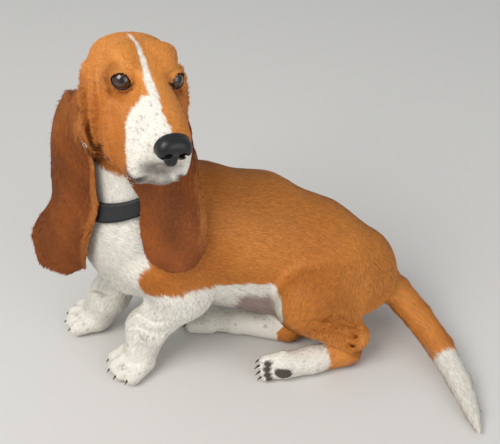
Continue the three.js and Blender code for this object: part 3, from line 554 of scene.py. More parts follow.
# %% Where the folds, lips and lids lie
# places on the right side (y over 0 here means outwards), size, ridge (1) or groove (-1)
FACE_FOLDS = [
    ([(-52, 56, -6), (-34, 58, -38), (-27, 55, -68), (-32, 46, -98)], 6.0, 1),
    ([(-28, 54, 2), (-10, 54, -26), (-5, 51, -56), (-10, 44, -90)], 5.5, 1),
    ([(4, 46, -12), (20, 45, -38), (33, 41, -62), (36, 37, -88)], 4.5, 1),
    ([(-40, 59, -2), (-22, 59, -32), (-16, 56, -62), (-21, 47, -94)], 3.0, -1),
    ([(-12, 54, -4), (4, 53, -30), (11, 50, -56), (12, 44, -84)], 3.0, -1),
]
MOUTH_LINE = [(99, 0, -62), (94, 17, -69), (74, 30, -84), (36, 39, -92), (12, 43, -78)]
GAZE_SHARE = (0.8, 0.6)  # how far each eye looks forwards and outwards
print(len(FACE_FOLDS), "folds on each side, and a mouth line of", len(MOUTH_LINE), "places")

# %% [markdown]
# ## Lids
# A lid is a thin shell round the eyeball, open in an almond. Its upper edge is a flat arch and its lower one
# sags towards the nose, as the heavy skin of the cheek pulls it down.

# %% Folds, lids and the mouth's line added to the head

def add_face(field):
    """Folds, then the lids as a shell round each eye, cut open in an almond, and the mouth's line."""
    for places, size, kind in FACE_FOLDS:
        for side in (1, -1):
            for form in path_forms(places, size, head=True, side=side):
                (field.add if kind > 0 else field.cut)(form, 7 if kind > 0 else 4)
    for side in (1, -1):
        centre = head_point(EYE_PLACE[0], EYE_PLACE[1] * side, EYE_PLACE[2])
        ahead = FORE * GAZE_SHARE[0] + LEFT * side * GAZE_SHARE[1]
        inner = np.cross(CROWN, ahead)
        inner *= -np.sign(inner @ LEFT) * side
        above = np.cross(ahead, inner)
        above *= np.sign(above @ CROWN)
        reach = np.full(3, EYE_RADIUS + 12.0)

        def lid(x, y, z):
            p = (x - centre[0], y - centre[1], z - centre[2])
            a, i, h = (p[0] * d[0] + p[1] * d[1] + p[2] * d[2] for d in (ahead, inner, above))
            away = np.sqrt(a * a + i * i + h * h)
            shell = np.abs(away - EYE_RADIUS - 1.3) - 1.6
            across = np.clip(i / 11.5, -1, 1)
            upper = 11.5 * (1 - across**2) ** 0.5 - 1.2 + across * 1.4
            lower = -8.4 * (1 - across**2) ** 0.6 - 0.6 + across * -2.2
            gap = np.minimum(upper - h, h - lower)
            return np.maximum(np.maximum(shell, gap * 0.9), -a * 0.7 - 3) - COAT

        field.add((lid, centre - reach, centre + reach), 3.0)
        field.cut((lambda x, y, z: np.sqrt((x - centre[0])**2 + (y - centre[1])**2 + (z - centre[2])**2)
                   - EYE_RADIUS - 0.1 + COAT, centre - reach, centre + reach), 0.3)
    for side in (1, -1):
        for form in path_forms(MOUTH_LINE, 1.5, head=True, side=side, steps=14, taper=False):
            field.cut(form, 2)


add_face(head_field)
head_field.value = np.maximum(head_field.value, -plane_side(head_field, COLLAR_MID, COLLAR_AXIS))
for side, sheet in sheets.items():
    along = np.linspace(0, 1, sheet.shape[0])[:, None]
    across = np.linspace(-1, 1, sheet.shape[1])[None]
    thick = (EAR_SKIN / 2 + COAT) * (1 - 0.25 * np.abs(across) ** 3) * np.ones_like(along)
    add_balls(head_field, sheet.reshape(-1, 3), thick.ravel(), 6.0 if side == "right" else 5.0)
    print(side, "ear added from", sheet.shape[0] * sheet.shape[1], "balls")

# %% [markdown]
# ## A mesh from a field
# The skin is where the field is zero. It is read off the grid as four-sided faces, which are even and smooth
# enough for a coat to grow on.

# %% Reading a surface off the grid
def surface_net(field, depth):
    """A mesh of the surface that lies a depth under the field's zero. Each grid cell that the surface passes
    through gives one vertex, at the mean of the places where it crosses the cell's edges, and each edge
    that it crosses gives one four-sided face."""
    value = field.value + depth
    inside = value < 0
    nx, ny, nz = value.shape
    corners = list(np.ndindex(2, 2, 2))
    count = sum(inside[i:nx - 1 + i, j:ny - 1 + j, k:nz - 1 + k].astype(np.uint8) for i, j, k in corners)
    crossed = (count > 0) & (count < 8)
    number = np.full(crossed.shape, -1, np.int64)
    cells = np.argwhere(crossed)
    number[crossed] = np.arange(len(cells))
    place, total = np.zeros((len(cells), 3)), np.zeros(len(cells))
    for a in corners:
        for b in corners:
            if sum(b) - sum(a) == 1 and all(q >= p for p, q in zip(a, b)):
                va, vb = (value[tuple((cells + c).T)] for c in (a, b))
                met = (va < 0) != (vb < 0)
                share = np.where(met, va / np.where(met, va - vb, 1), 0)[:, None]
                place += np.where(met[:, None], np.array(a) + (np.array(b) - np.array(a)) * share, 0)
                total += met
    points = field.low + (place / total[:, None] + cells) * field.cell
    faces = []
    for axis in range(3):
        first, second = [slice(1, -1)] * 3, [slice(1, -1)] * 3
        first[axis], second[axis] = slice(0, -1), slice(1, None)
        a, b = inside[tuple(first)], inside[tuple(second)]
        edge = np.argwhere(a != b)
        turned = a[tuple(edge.T)]
        step = np.array([1, 1, 1])
        step[axis] = 0
        edge = edge + step
        u, w = (axis + 1) % 3, (axis + 2) % 3
        ring = []
        for du, dw in ((1, 1), (0, 1), (0, 0), (1, 0)):
            at = edge.copy()
            at[:, u] -= du
            at[:, w] -= dw
            ring.append(number[tuple(at.T)])
        ring = np.stack(ring, 1)
        ring[~turned] = ring[~turned][:, ::-1]
        faces.append(ring)
    return points, np.concatenate(faces)


ball = Field((-12, -12, -12), (12, 12, 12), 2.0)
ball.add(limb((0, 0, 0), (0, 0, 0.1), 8, 8), 1)
print("a ball 16 mm across gives", len(surface_net(ball, 0)[1]), "faces on a grid of 2 mm")

# %% [markdown]
# ## From arrays to pieces
# A piece is made at the world's origin, with its place in its mesh, in metres. Markings and hair are told
# from the places in millimetres, before they go into a mesh.

# %% Making and painting a piece
def make_piece(name, points, faces, material, smooth=True):
    """A mesh object from places in millimetres and faces of three or four corners."""
    mesh = bpy.data.meshes.new(name)
    faces = np.asarray(faces, np.int32)
    mesh.vertices.add(len(points))
    mesh.vertices.foreach_set("co", ((points + SHIFT) * MM).astype(np.float32).ravel())
    mesh.loops.add(faces.size)
    mesh.loops.foreach_set("vertex_index", faces.ravel())
    mesh.polygons.add(len(faces))
    mesh.polygons.foreach_set("loop_start", np.arange(len(faces), dtype=np.int32) * faces.shape[1])
    mesh.polygons.foreach_set("use_smooth", np.full(len(faces), smooth))
    mesh.update(calc_edges=True)
    mesh.validate()
    mesh.materials.append(material)
    piece = bpy.data.objects.new(name, mesh)
    bpy.context.scene.collection.objects.link(piece)
    return piece


def finish_piece(piece, slot_name, *nodes):
    """Fixes a piece to the model's body and hides the solids that it stands for. The finish's name,
    slot_name, is not used.
    """
    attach(piece, "root")
    if nodes:
        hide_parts(*nodes)
    print(piece.name, len(piece.data.polygons), "faces")


def paint(piece, colours):
    """A colour for each vertex, kept in an attribute."""
    layer = piece.data.color_attributes.new("Markings", "FLOAT_COLOR", "POINT")
    values = np.column_stack([colours, np.ones(len(colours))])
    layer.data.foreach_set("color", values.astype(np.float32).ravel())


# %% [markdown]
# ## Finishes
# Hair is soft and hardly shines, nose leather has a dull wet shine, webbing is matt, horn is dark, and an
# eye has a clear wet layer. Coat and eyes take their colours from the vertex attribute, so that no picture is
# needed and skin and tufts agree.

# %% Finishes

def shader(name, colour, rough, **more):
    """A plain Principled material."""
    material = bpy.data.materials.new(name)
    material.use_nodes = True
    principled = material.node_tree.nodes["Principled BSDF"]
    principled.inputs["Base Color"].default_value = (*colour, 1)
    principled.inputs["Roughness"].default_value = rough
    for key, value in more.items():
        principled.inputs[key.replace("_", " ")].default_value = value
    return material


def take_markings(material):
    """Reads the base colour from the vertex attribute."""
    tree = material.node_tree
    markings = tree.nodes.new("ShaderNodeVertexColor")
    markings.layer_name = "Markings"
    tree.links.new(markings.outputs["Color"], tree.nodes["Principled BSDF"].inputs["Base Color"])


coat_look = shader("short coat", (0.5, 0.2, 0.06), 0.55, Specular_IOR_Level=0.22)
take_markings(coat_look)
leather = shader("nose leather", (0.010, 0.010, 0.011), 0.36, Specular_IOR_Level=0.4)
strap_look = shader("collar webbing", (0.012, 0.012, 0.014), 0.6)
claw_look = shader("claw horn", (0.03, 0.022, 0.018), 0.4)
eye_look = shader("wet eye", (0.03, 0.012, 0.006), 0.12, Coat_Weight=0.6, Coat_Roughness=0.02)
take_markings(eye_look)
print(len(bpy.data.materials), "finishes")

# %% [markdown]
# ## Both skins
# Each field is closed where its skin ends: the body's at the collar and just above the floor, where a real
# dog's flesh is pressed flat. Both skins are read off at the coat's depth, inside the solids.

# %% The two skins
body_field.value = np.maximum(body_field.value, plane_side(body_field, COLLAR_MID, COLLAR_AXIS))
x, y, z = np.meshgrid(*body_field.axes, indexing="ij", sparse=True)
body_field.value = np.maximum(body_field.value, (0.2 + COAT - z).astype(np.float32))
head_points, head_faces = surface_net(head_field, COAT)
body_points, body_faces = surface_net(body_field, COAT)
print("head skin", len(head_faces), "body skin", len(body_faces), "four-sided faces")

# %% [markdown]
# ## Which way the hair lies
# Hair runs from the nose back over the skull, down the neck and ears, back along the trunk and down each
# leg and the tail. So each limb has a direction, and a place on the skin takes a mean of the directions of
# the limbs near it, the nearer ones counting more. The nearest limb also gives a place on an unwrap: how
# far along it, and the angle round it.

# %% Limbs as guides
GUIDES = []  # start, end, mean radius, 1 if hair runs from start to end, or -1


def guide(start, end, radius, sense=1):
    GUIDES.append((np.array(start, float), np.array(end, float), float(np.mean(radius)), sense))


for start, end, size0, size1, _ in TRUNK:
    guide(start, end, (size0, size1))
for start, end, size0, size1, _ in NECK:
    guide(start, end, (size0, size1), -1)
for _, rows, _ in LIMB_GROUPS:
    for start, end, size0, size1, *_ in rows:
        guide(start, end, (size0, size1))
for start, end, radius in (((-70, 0, -20), (0, 0, -22), 46), ((0, 0, -25), (90, 0, -32), 31)):
    guide(head_point(*start), head_point(*end), radius, -1)
for side in (1, -1):
    guide(head_point(-70, 44 * side, -60), head_point(20, 30 * side, -30), 26, -1)
    guide(head_point(-40, 30 * side, -90), head_point(60, 22 * side, -50), 22, -1)


def follow_guides(points):
    """For each place: the mean direction of the hair, each guide counting by exp(-(distance to its skin) /
    9 mm), and the nearest guide with the share of its length and the turn round it."""
    flow = np.zeros((len(points), 3))
    best = np.full(len(points), 1e9)
    unwrap = np.zeros((len(points), 2))
    for number, (start, end, radius, sense) in enumerate(GUIDES):
        axis = end - start
        length = np.linalg.norm(axis)
        axis /= length
        share = np.clip((points - start) @ axis / length, 0, 1)
        off = points - start - axis * (share * length)[:, None]
        away = np.abs(np.linalg.norm(off, axis=1) - radius)
        flow += axis * sense * np.exp(-away / 9.0)[:, None]
        side = np.cross(axis, [0.31, 0.17, 0.93])
        side /= np.linalg.norm(side)
        turn = np.arctan2(off @ np.cross(axis, side), off @ side) / (2 * np.pi) + 0.5
        tile = np.array([number % 8, number // 8])
        place = (tile + 0.08 + 0.84 * np.stack([turn, share], 1)) / 8
        nearer = away < best
        best = np.where(nearer, away, best)
        unwrap = np.where(nearer[:, None], place, unwrap)
    return flow / (np.linalg.norm(flow, axis=1, keepdims=True) + 1e-9), unwrap


print(len(GUIDES), "guides")

# %% [markdown]
# ## Along the ears
# On an ear the hair runs from root to tip, so the ear's own sheet is the guide. It also tells how far down
# the ear and how far across it a place is, for the colours.

# %% The ears' sheets as guides
def on_ear(points, side, reach=9.0):
    """For places near an ear: the share of its length, the place across it and the direction down it, from
    the nearest place of a thinned sheet. Others get a share of -1."""
    sheet = sheets[side][::4, ::4]
    down = np.gradient(sheet, axis=0).reshape(-1, 3)
    flat = sheet.reshape(-1, 3)
    share, across, flow = np.full(len(points), -1.0), np.zeros(len(points)), np.zeros((len(points), 3))
    near = np.flatnonzero(((points > flat.min(0) - reach) & (points < flat.max(0) + reach)).all(1))
    for part in np.array_split(near, max(1, len(near) // 4000)):
        away = np.linalg.norm(points[part, None] - flat[None], axis=2)
        nearest = away.argmin(1)
        hit = away[np.arange(len(part)), nearest] < reach
        i, j = np.divmod(nearest, sheet.shape[1])
        share[part] = np.where(hit, i / (sheet.shape[0] - 1), -1)
        across[part] = j / (sheet.shape[1] - 1) * 2 - 1
        flow[part] = down[nearest]
    return share, across, flow / (np.linalg.norm(flow, axis=1, keepdims=True) + 1e-9)


on_right_ear = on_ear(head_points, "right")[0] >= 0
print("the right ear has", int(on_right_ear.sum()), "of the head skin's", len(head_points), "vertices")

# %% [markdown]
# ## Markings
# The dog is a lemon and white hound turned to red: a warm tan head and body, darker red ears, and white
# on the blaze, muzzle, throat, chest, belly, legs, feet and tail tip, with small ticks in the white. Each
# edge is a simple shape in space, made ragged by a slow ripple, because coloured hair grows over it.

# %% Colours, and how a marking is laid
TAN, LIGHT_TAN = np.array([0.49, 0.158, 0.026]), np.array([0.64, 0.245, 0.050])
# the ears' red, and a paler red for their roots and for a painted highlight along the front hem
EAR_RED, EAR_PALE_AND_HIGHLIGHT = np.array([0.235, 0.062, 0.011]), np.array([0.44, 0.15, 0.030])
WHITE, BARE = np.array([0.80, 0.755, 0.67]), np.array([0.27, 0.17, 0.14])
DARK, LIP = np.array([0.020, 0.014, 0.012]), np.array([0.12, 0.085, 0.075])
PAD_GREY = np.array([0.075, 0.062, 0.052])
FOOT_PADS = [(np.array([110.0, 9.0, 21.0]), 13)] + [
    (np.array([103.0 - 3 * p, -9.0 - 3 * (1.4 - abs(p)), 22.0 + p * 9]), 6.8)
    for p in (-1.4, -0.5, 0.5, 1.4)]
WAVES = rng.normal(size=(24, 3)), rng.uniform(0, 2 * np.pi, 24)


def ripple(points, size, first=0):
    """A smooth noise between about -1 and 1: eight cosine waves in seeded directions, of about that size."""
    waves, phase = WAVES[0][first:first + 8], WAVES[1][first:first + 8]
    return np.cos(points @ waves.T * (2.2 / size) + phase).sum(1) / 3


def mask(distance, soft):
    """1 where the distance is well under zero, 0 where it is well over, and a smooth step between."""
    t = np.clip(0.5 - distance / (2 * soft), 0, 1)
    return t * t * (3 - 2 * t)


def to_head(points):
    """Places in the head's frame: x forwards, y to its left, z up."""
    away = points - EYE_MID
    return np.stack([away @ FORE, away @ LEFT, away @ CROWN], 1)


def lay(colours, colour, amount):
    """Covers colours with another by an amount from 0 to 1."""
    return colours + (colour - colours) * amount[:, None]


print("tan", TAN.tolist(), "ear", EAR_RED.tolist(), "white", WHITE.tolist())

# %% [markdown]
# ## Markings of the head
# A narrow blaze runs down the skull and widens over the dog's right side of the muzzle, and the far side
# stays tan. The white goes round the lips and starts again on the throat. Chin and lips are dusky.

# %% Markings of the head
def head_markings(points):
    """Colours by place in the head's frame: each area is the largest or smallest of a few distances."""
    x, y, z = to_head(points).T
    rough = ripple(points, 7) * 1.3 + ripple(points, 3, 8) * 0.7
    colours = lay(np.tile(TAN, (len(points), 1)), LIGHT_TAN, mask(-z - 10 + ripple(points, 40) * 6, 30))
    # painted shade: darker tan round the eyes, in their pits, and painted shadow behind the cheeks, under the
    # ears
    shade = mask(np.sqrt((x - 2) ** 2 + (np.abs(y) - 36) ** 2 + (z - 1) ** 2) - 19, 6)
    colours = lay(colours, TAN * 0.62, shade * 0.55)
    # painted shadow behind the cheeks and low down, under the ears
    colours = lay(colours, TAN * 0.5, mask(x + 30 + (z + 40) * 0.2, 16) * mask(z + 15, 14) * 0.6)
    # the blaze, a line over the skull that widens on the muzzle
    half = np.interp(x, (-52, -40, -11, 22, 36), (0.3, 1.6, 2.8, 3.6, 4.5))
    blaze = np.maximum(np.abs(y + 8.5) - half, np.maximum(np.maximum(-x - 50, x - 56), -z - 2))
    edge = np.interp(z, (-92, -69, -46, -28, -18, -6, 10), (72, 66, 59, 47, 40, 43, 48))
    right_side = np.maximum(edge - x, y + np.interp(x, (40, 60, 95), (4, 6, 5)))
    left_side = np.maximum(np.maximum(58 - x, z + 42 - (x - 58) * 0.1), -y - 7)
    white = np.minimum(np.minimum(blaze, right_side + rough), left_side + rough)
    amount = mask(white + rough * 0.25, 1.6) * mask(-x - 60, 5)
    colours = lay(colours, WHITE, amount)
    # throat and front of the neck
    throat = -((points[:, 0] + 60) * 0.45 - (points[:, 1] + 135) * 0.9 - 14) + rough * 2
    throat = np.maximum(throat, points[:, 2] - 326 + (points[:, 0] + 40) * 0.25)
    colours = lay(colours, WHITE, mask(np.maximum(throat, z + 78), 3))
    # lips and chin are dusky round the mouth
    colours = lay(colours, LIP, mask(z + 74 + rough, 5) * mask(58 - x, 14) * 0.75)
    dusk = mask(np.sqrt((x - 94) ** 2 + ((y + 6) * 0.7) ** 2 + ((z + 60) * 1.2) ** 2) - 17 + rough, 9)
    colours = lay(colours, LIP * 0.8, dusk * 0.75)
    line = smooth_rows([(i, *p) for i, p in enumerate(MOUTH_LINE)])(np.linspace(0, 4, 40)).T
    lower = np.flatnonzero((z < -50) & (x > 0))
    away = np.linalg.norm(np.stack([x, np.abs(y), z], 1)[lower, None] - line[None], axis=2).min(1)
    colours[lower] = lay(colours[lower], DARK, mask(away - 4.0, 2.2) * 0.95)
    return colours


WHITE_LEAST = 0.45  # blue of the palest tan and the darkest white lie either side of this
white_share = (head_markings(head_points)[:, 2] > WHITE_LEAST).mean()
print("white on", round(float(white_share), 2), "of the head's skin")


# %% [markdown]
# ## Markings of the body
# Tan covers the back, the flank and the haunch down to the hock. Belly, chest, legs, feet and the last half
# of the tail are white. The groin is bare skin, and the sole of the left hind foot has dark pads.

# %% Markings of the body
def pad_distance(points):
    """Distance to the pads of the left hind foot, whose sole faces the camera: one behind four toes."""
    flatten = (1, 1, 0.8)
    away = [np.linalg.norm((points - place) / flatten, axis=1) - size for place, size in FOOT_PADS]
    return np.min(away, 0)


def body_markings(points):
    """Colours by place: white is under a line along the flank, in front of one on the chest and neck, and
    past one on the hind foot and one on the tail."""
    x, y, z = points.T
    rough = ripple(points, 12) * 2.2 + ripple(points, 4, 8) * 1.2
    lighter = mask(ripple(points, 90) * 30 - y * 0.3 + 10, 50)
    colours = lay(np.tile(TAN, (len(points), 1)), LIGHT_TAN, lighter)
    colours = lay(colours, TAN * 0.7, mask(-(z - 215 + y * 0.6) * 0.8, 26) * 0.35)
    edge = np.interp(y, (-150, -99, -77, -53, -27, 11, 40), (158, 157, 151, 139, 134, 132, 120))
    white = np.where((y < 26) | (x < 40), z - edge, 60) + rough * 0.7
    chest = np.maximum(np.abs(x + 50) - 78 - np.clip(170 - z, 0, 60) * 0.2, y + 136) + rough
    neck = -((x + 60) * 0.45 - (y + 135) * 0.9 - 18) + rough + np.clip(255 - z, 0, 200) * 1.2
    white = np.minimum(np.minimum(white, chest), neck)
    thigh = np.maximum(np.maximum(26 - y - np.clip((x - 45) * 0.3, 0, 16), 30 - x), 40 - z)
    white = np.where(thigh < 0, 30.0, white)
    foot = np.maximum(np.maximum(y - 76 + rough, z - 53 + rough * 0.4), 60 - x)
    white = np.minimum(white, foot)
    haunch = (y > 40) & (x < 40)
    white = np.where(haunch & (z > 20), 30.0, white)
    tail = np.maximum(158 - x + rough * 1.4, -20)
    white = np.where((x > 118) & (y > 130), tail, np.where(y > 160, 40.0, white))
    colours = lay(colours, WHITE, mask(white, 2.4))
    # the tail is cream under its root, and the groin is bare
    cream = mask(z - 30, 12) * mask(150 - y, 10) * mask(x - 150, 10)
    colours = lay(colours, WHITE * (1, 0.86, 0.66), cream * 0.5)
    groin = np.maximum(np.maximum(np.abs(y - 10) - 44, np.abs(z - 84) - 26), np.abs(x - 14) - 44)
    colours = lay(colours, BARE, mask(groin + rough, 8) * 0.85)
    callus = np.sqrt((x - 112) ** 2 + (y - 112) ** 2 + (z - 4) ** 2) - 17
    colours = lay(colours, np.array([0.42, 0.17, 0.12]), mask(callus + rough * 0.5, 5) * 0.8)
    return lay(colours, PAD_GREY, mask(pad_distance(points), 1.2))


white_share = (body_markings(body_points)[:, 2] > WHITE_LEAST).mean()
print("white on", round(float(white_share), 2), "of the body's skin")


# %% [markdown]
# ## Ticks, ears and lid rims
# Small dark ticks are scattered in the white, seeded so that each run gives the same dog. The ears take
# their red here, paler at the root, with a painted highlight on the front hem, and the lids get their wet
# dark rims.

# %% Ticks and the colours as a whole
def pick_ticks(points, colours, count, low, high, low_size, high_size):
    """Ticks: seeded places in the white, with a radius and a strength each."""
    white = np.flatnonzero((colours[:, 2] > WHITE_LEAST) & (points[:, 2] > low) & (points[:, 2] < high))
    chosen = rng.choice(white, count)
    return points[chosen], rng.uniform(low_size, high_size, count), rng.uniform(0.2, 0.6, count)


def add_ticks(points, colours, ticks):
    """Darkens the white within each tick's radius, by its strength."""
    for part in np.array_split(np.arange(len(points)), max(1, len(points) // 20000)):
        away = np.linalg.norm(points[part, None] - ticks[0][None], axis=2) - ticks[1][None]
        amount = (mask(away, 0.9) * ticks[2][None]).max(1)
        amount = amount * (colours[part, 2] > 0.3)
        colours[part] = lay(colours[part], np.array([0.17, 0.105, 0.075]), amount)
    return colours


def head_colours(points):
    """The head's markings with ticks, the ears' red with a painted highlight on the front hem, and the rims
    of the lids.
    """
    colours = add_ticks(points, head_markings(points), head_ticks)
    for side in EARS:
        share, across, _ = on_ear(points, side)
        ear = np.clip((share - 0.03) / 0.08, 0, 1)
        red = EAR_RED * (1 + 0.16 * ripple(points, 22)[:, None])
        root = mask(share - 0.25 + ripple(points, 15) * 0.05, 0.25)
        red = lay(red, EAR_PALE_AND_HIGHLIGHT, root * 0.7)
        # painted highlight: the front edge is made lighter where its curl catches the light
        front = across * (1 if side == "right" else -1)
        hem = mask(front + 0.74 + 0.05 * ripple(points, 14), 0.08) * mask(share - 0.85, 0.1)
        red = lay(red, EAR_PALE_AND_HIGHLIGHT, hem * 0.85)
        colours = lay(colours, red, ear)
    # wet rims round the eyes
    for side in (1, -1):
        centre = head_point(EYE_PLACE[0], EYE_PLACE[1] * side, EYE_PLACE[2])
        rim = np.linalg.norm(points - centre, axis=1) - EYE_RADIUS - 2.0
        colours = lay(colours, DARK, mask(rim, 1.3) * (share < 0) * 0.92)
    return colours


def body_colours(points):
    """The body's markings with ticks."""
    return add_ticks(points, body_markings(points), body_ticks)


muzzle = to_head(head_points)[:, :1] > 55
head_ticks = pick_ticks(head_points, head_markings(head_points) * muzzle, 150, 0, 999, 0.3, 1.5)
body_ticks = pick_ticks(body_points, body_markings(body_points), 420, 0, 150, 0.6, 2.6)
head_skin = make_piece("head_skin", head_points, head_faces, coat_look)
body_skin = make_piece("body_skin", body_points, body_faces, coat_look)
paint(head_skin, head_colours(head_points))
paint(body_skin, body_colours(body_points))
finish_piece(head_skin, "tan_coat", "head", "neck", "left_ear", "right_ear")
finish_piece(body_skin, "tan_coat", "chest", "loin", "hips", "left_shoulder", "right_shoulder",
             "left_forearm", "right_forearm", "left_forepaw", "right_forepaw", "left_thigh", "right_thigh",
             "left_hind_foot", "right_hind_foot", "tail_root", "tail_tip")

# %% [markdown]
# ## The coat
# A basset's hair is short, dense and lies flat. Each tuft is a thin blade: two corners at the root, two at
# its middle and a tip, which leans a little out of the skin and then along it. Tufts are shorter and finer
# on the face and feet, and stand out a little more on the tail.

# %% One tuft, and many
def scatter(points, faces, count):
    """Seeded places spread evenly over a mesh of four-sided faces, and the direction out of the skin."""
    a, b, c, d = (points[faces[:, i]] for i in range(4))
    normal = np.cross(c - a, d - b)
    area = np.linalg.norm(normal, axis=1)
    chosen = np.searchsorted(np.cumsum(area), rng.random(count) * area.sum())
    chosen = np.minimum(chosen, len(faces) - 1)
    s, t = rng.random((2, count, 1))
    a, b, c, d = a[chosen], b[chosen], c[chosen], d[chosen]
    place = (a * (1 - s) + b * s) * (1 - t) + (d * (1 - s) + c * s) * t
    return place, normal[chosen] / (area[chosen, None] + 1e-9)


def grow(name, roots, out, flow, unwrap, colours, length, width, lift, slot_name):
    """Blades at the roots. The middle is half the length along the lie and lifted, the tip a whole length
    along it and lifted by a little less than twice as much."""
    count = len(roots)
    flow = flow + rng.normal(scale=0.16, size=(count, 3))
    flow -= out * (flow * out).sum(1, keepdims=True)
    flow /= np.linalg.norm(flow, axis=1, keepdims=True) + 1e-9
    across = np.cross(out, flow) * (width * rng.uniform(0.7, 1.2, count))[:, None] / 2
    length = (length * rng.uniform(0.7, 1.2, count))[:, None]
    lift = (lift * rng.uniform(0.5, 1.5, count))[:, None]
    root = roots - out * 0.25
    middle = root + flow * length * 0.5 + out * (lift * 0.62 + 0.25)
    tip = root + flow * length + out * (lift + 0.25)
    points = np.stack([root - across, root + across, middle - across * 0.8, middle + across * 0.8, tip], 1)
    points[..., 2] = np.maximum(points[..., 2], 0.3)
    index = np.arange(count)[:, None] * 5
    faces = (index[:, :, None] + np.array([[0, 1, 3], [0, 3, 2], [2, 3, 4]])[None]).reshape(-1, 3)
    piece = make_piece(name, points.reshape(-1, 3), faces, coat_look)
    shade = 1 + 0.16 * rng.normal(size=(count, 1)).clip(-1.6, 1.6)
    tint = colours * shade
    blade = np.stack([tint * 0.86, tint * 0.86, tint, tint, tint * 1.12], 1)
    paint(piece, np.clip(blade, 0, 0.92).reshape(-1, 3))
    patch = np.array([[-1, 0], [1, 0], [-1, 1], [1, 1], [0, 2]]) * 0.0015
    corner = (unwrap[:, None] + patch[None]).reshape(-1, 2)
    layer = piece.data.uv_layers.new(name="OFBake")
    loops = np.empty(len(piece.data.loops), np.int32)
    piece.data.loops.foreach_get("vertex_index", loops)
    layer.data.foreach_set("uv", corner[loops].astype(np.float32).ravel())
    finish_piece(piece, slot_name)


print("a tuft has 5 corners and 3 faces")

# %% [markdown]
# ## How long, how wide and where
# The coat changes over the body. Hair is longest on the tail, shortest on the muzzle and feet, and there is
# none on the eyes, on the pads or under the collar, and only a fifth as much in the groin.

# %% Sizes of the coat, and growing it
def grow_all(label, points, faces, count, colour_of, sizes_of, pieces):
    """Tufts over a whole skin, in several pieces: the hair's direction, colour and size at each root."""
    roots, out = scatter(points, faces, count)
    flow, unwrap = follow_guides(roots)
    if label == "head":
        for side in EARS:
            share, _, down = on_ear(roots, side)
            flow = np.where((share > 0.08)[:, None], down, flow)
    length, width, lift, keep = sizes_of(roots, out)
    colours = colour_of(roots)
    keep = np.flatnonzero(keep)
    order = keep[np.argsort(unwrap[keep, 0] + 8 * np.floor(unwrap[keep, 1] * 8))]
    for number, part in enumerate(np.array_split(order, pieces)):
        grow(f"{label}_coat_{number + 1}", roots[part], out[part], flow[part], unwrap[part], colours[part],
             length[part], width[part], lift[part], "tan_coat")


def head_sizes(roots, out):
    """Finer towards the nose, and none in the eyes or on their rims."""
    x, y, z = to_head(roots).T
    face = np.clip((x + 30) / 110, 0, 1)
    length = 6.5 - 3.6 * face
    clear = np.ones(len(roots), bool)
    for side in (1, -1):
        centre = head_point(EYE_PLACE[0], EYE_PLACE[1] * side, EYE_PLACE[2])
        clear &= np.linalg.norm(roots - centre, axis=1) > EYE_RADIUS + 3.4
    above = (roots - COLLAR_MID) @ COLLAR_AXIS
    ears = (on_ear(roots, "left")[0] > 0.1) | (on_ear(roots, "right")[0] > 0.1)
    clear &= (above > 10) | ears
    return length, 0.75 - 0.25 * face, 0.55 + 0 * face, clear


def body_sizes(roots, out):
    """Longest on the tail and shortest on the feet, with none where the dog touches the floor or under the
    collar, and only a fifth as much in the bare groin."""
    x, y, z = roots.T
    feet = mask(z - 45, 25) * mask(y - 110, 20)
    tail = mask(150 - y, 20) * mask(-x + 60, 20)
    length = (8.5 - 4.5 * feet + 3 * tail) * np.interp(x, (240, 275), (1, 0.35))
    lift = 0.8 - 0.3 * feet + 0.9 * tail
    groin = (np.abs(y - 12) < 40) & (z < 96) & (np.abs(x - 18) < 42)
    above = (roots - COLLAR_MID) @ COLLAR_AXIS
    thinned = ~groin | (rng.random(len(roots)) < 0.2)
    clear = (pad_distance(roots) > 0) & (z > 2.2) & (out[:, 2] > -0.98) & (above < -10) & thinned
    return length, 0.95 - 0.3 * feet, lift, clear


grow_all("head", head_points, head_faces, 120000, head_colours, head_sizes, 2)
grow_all("body", body_points, body_faces, 210000, body_colours, body_sizes, 4)

# %% [markdown]
# ## Eyes
# Each eye is a wet ball that fills its lids. Rings round the pupil carry the colours, so the grid starts at
# the pupil's middle, and the gaze of the two differs a little, as the dog looks past the camera.

# %% Eyes
def ball_grid(centre, radius, pole, rings=40, around=64):
    """A ball whose grid starts at a pole, which for an eye is the middle of its pupil."""
    pole = pole / np.linalg.norm(pole)
    side = np.cross(pole, [0.1, 0.3, 1.0])
    side /= np.linalg.norm(side)
    other = np.cross(pole, side)
    tilt = np.linspace(0, np.pi, rings + 1)[1:-1, None]
    turn = np.linspace(0, 2 * np.pi, around, endpoint=False)[None]
    grid = (pole * np.cos(tilt)[..., None] + side * (np.sin(tilt) * np.cos(turn))[..., None]
            + other * (np.sin(tilt) * np.sin(turn))[..., None])
    points = np.concatenate([grid.reshape(-1, 3), [pole, -pole]]) * radius + centre
    rows = np.arange((rings - 1) * around).reshape(rings - 1, around)
    after = np.roll(rows, -1, 1)
    quads = np.stack([rows[:-1], rows[1:], after[1:], after[:-1]], -1).reshape(-1, 4)
    top, end = len(points) - 2, len(points) - 1
    caps = np.concatenate([np.stack([np.full(around, top), rows[0], after[0]], 1),
                           np.stack([np.full(around, end), after[-1], rows[-1]], 1)])
    quads = np.concatenate([quads[:, [0, 1, 2]], quads[:, [0, 2, 3]]])
    return points, np.concatenate([quads, caps])


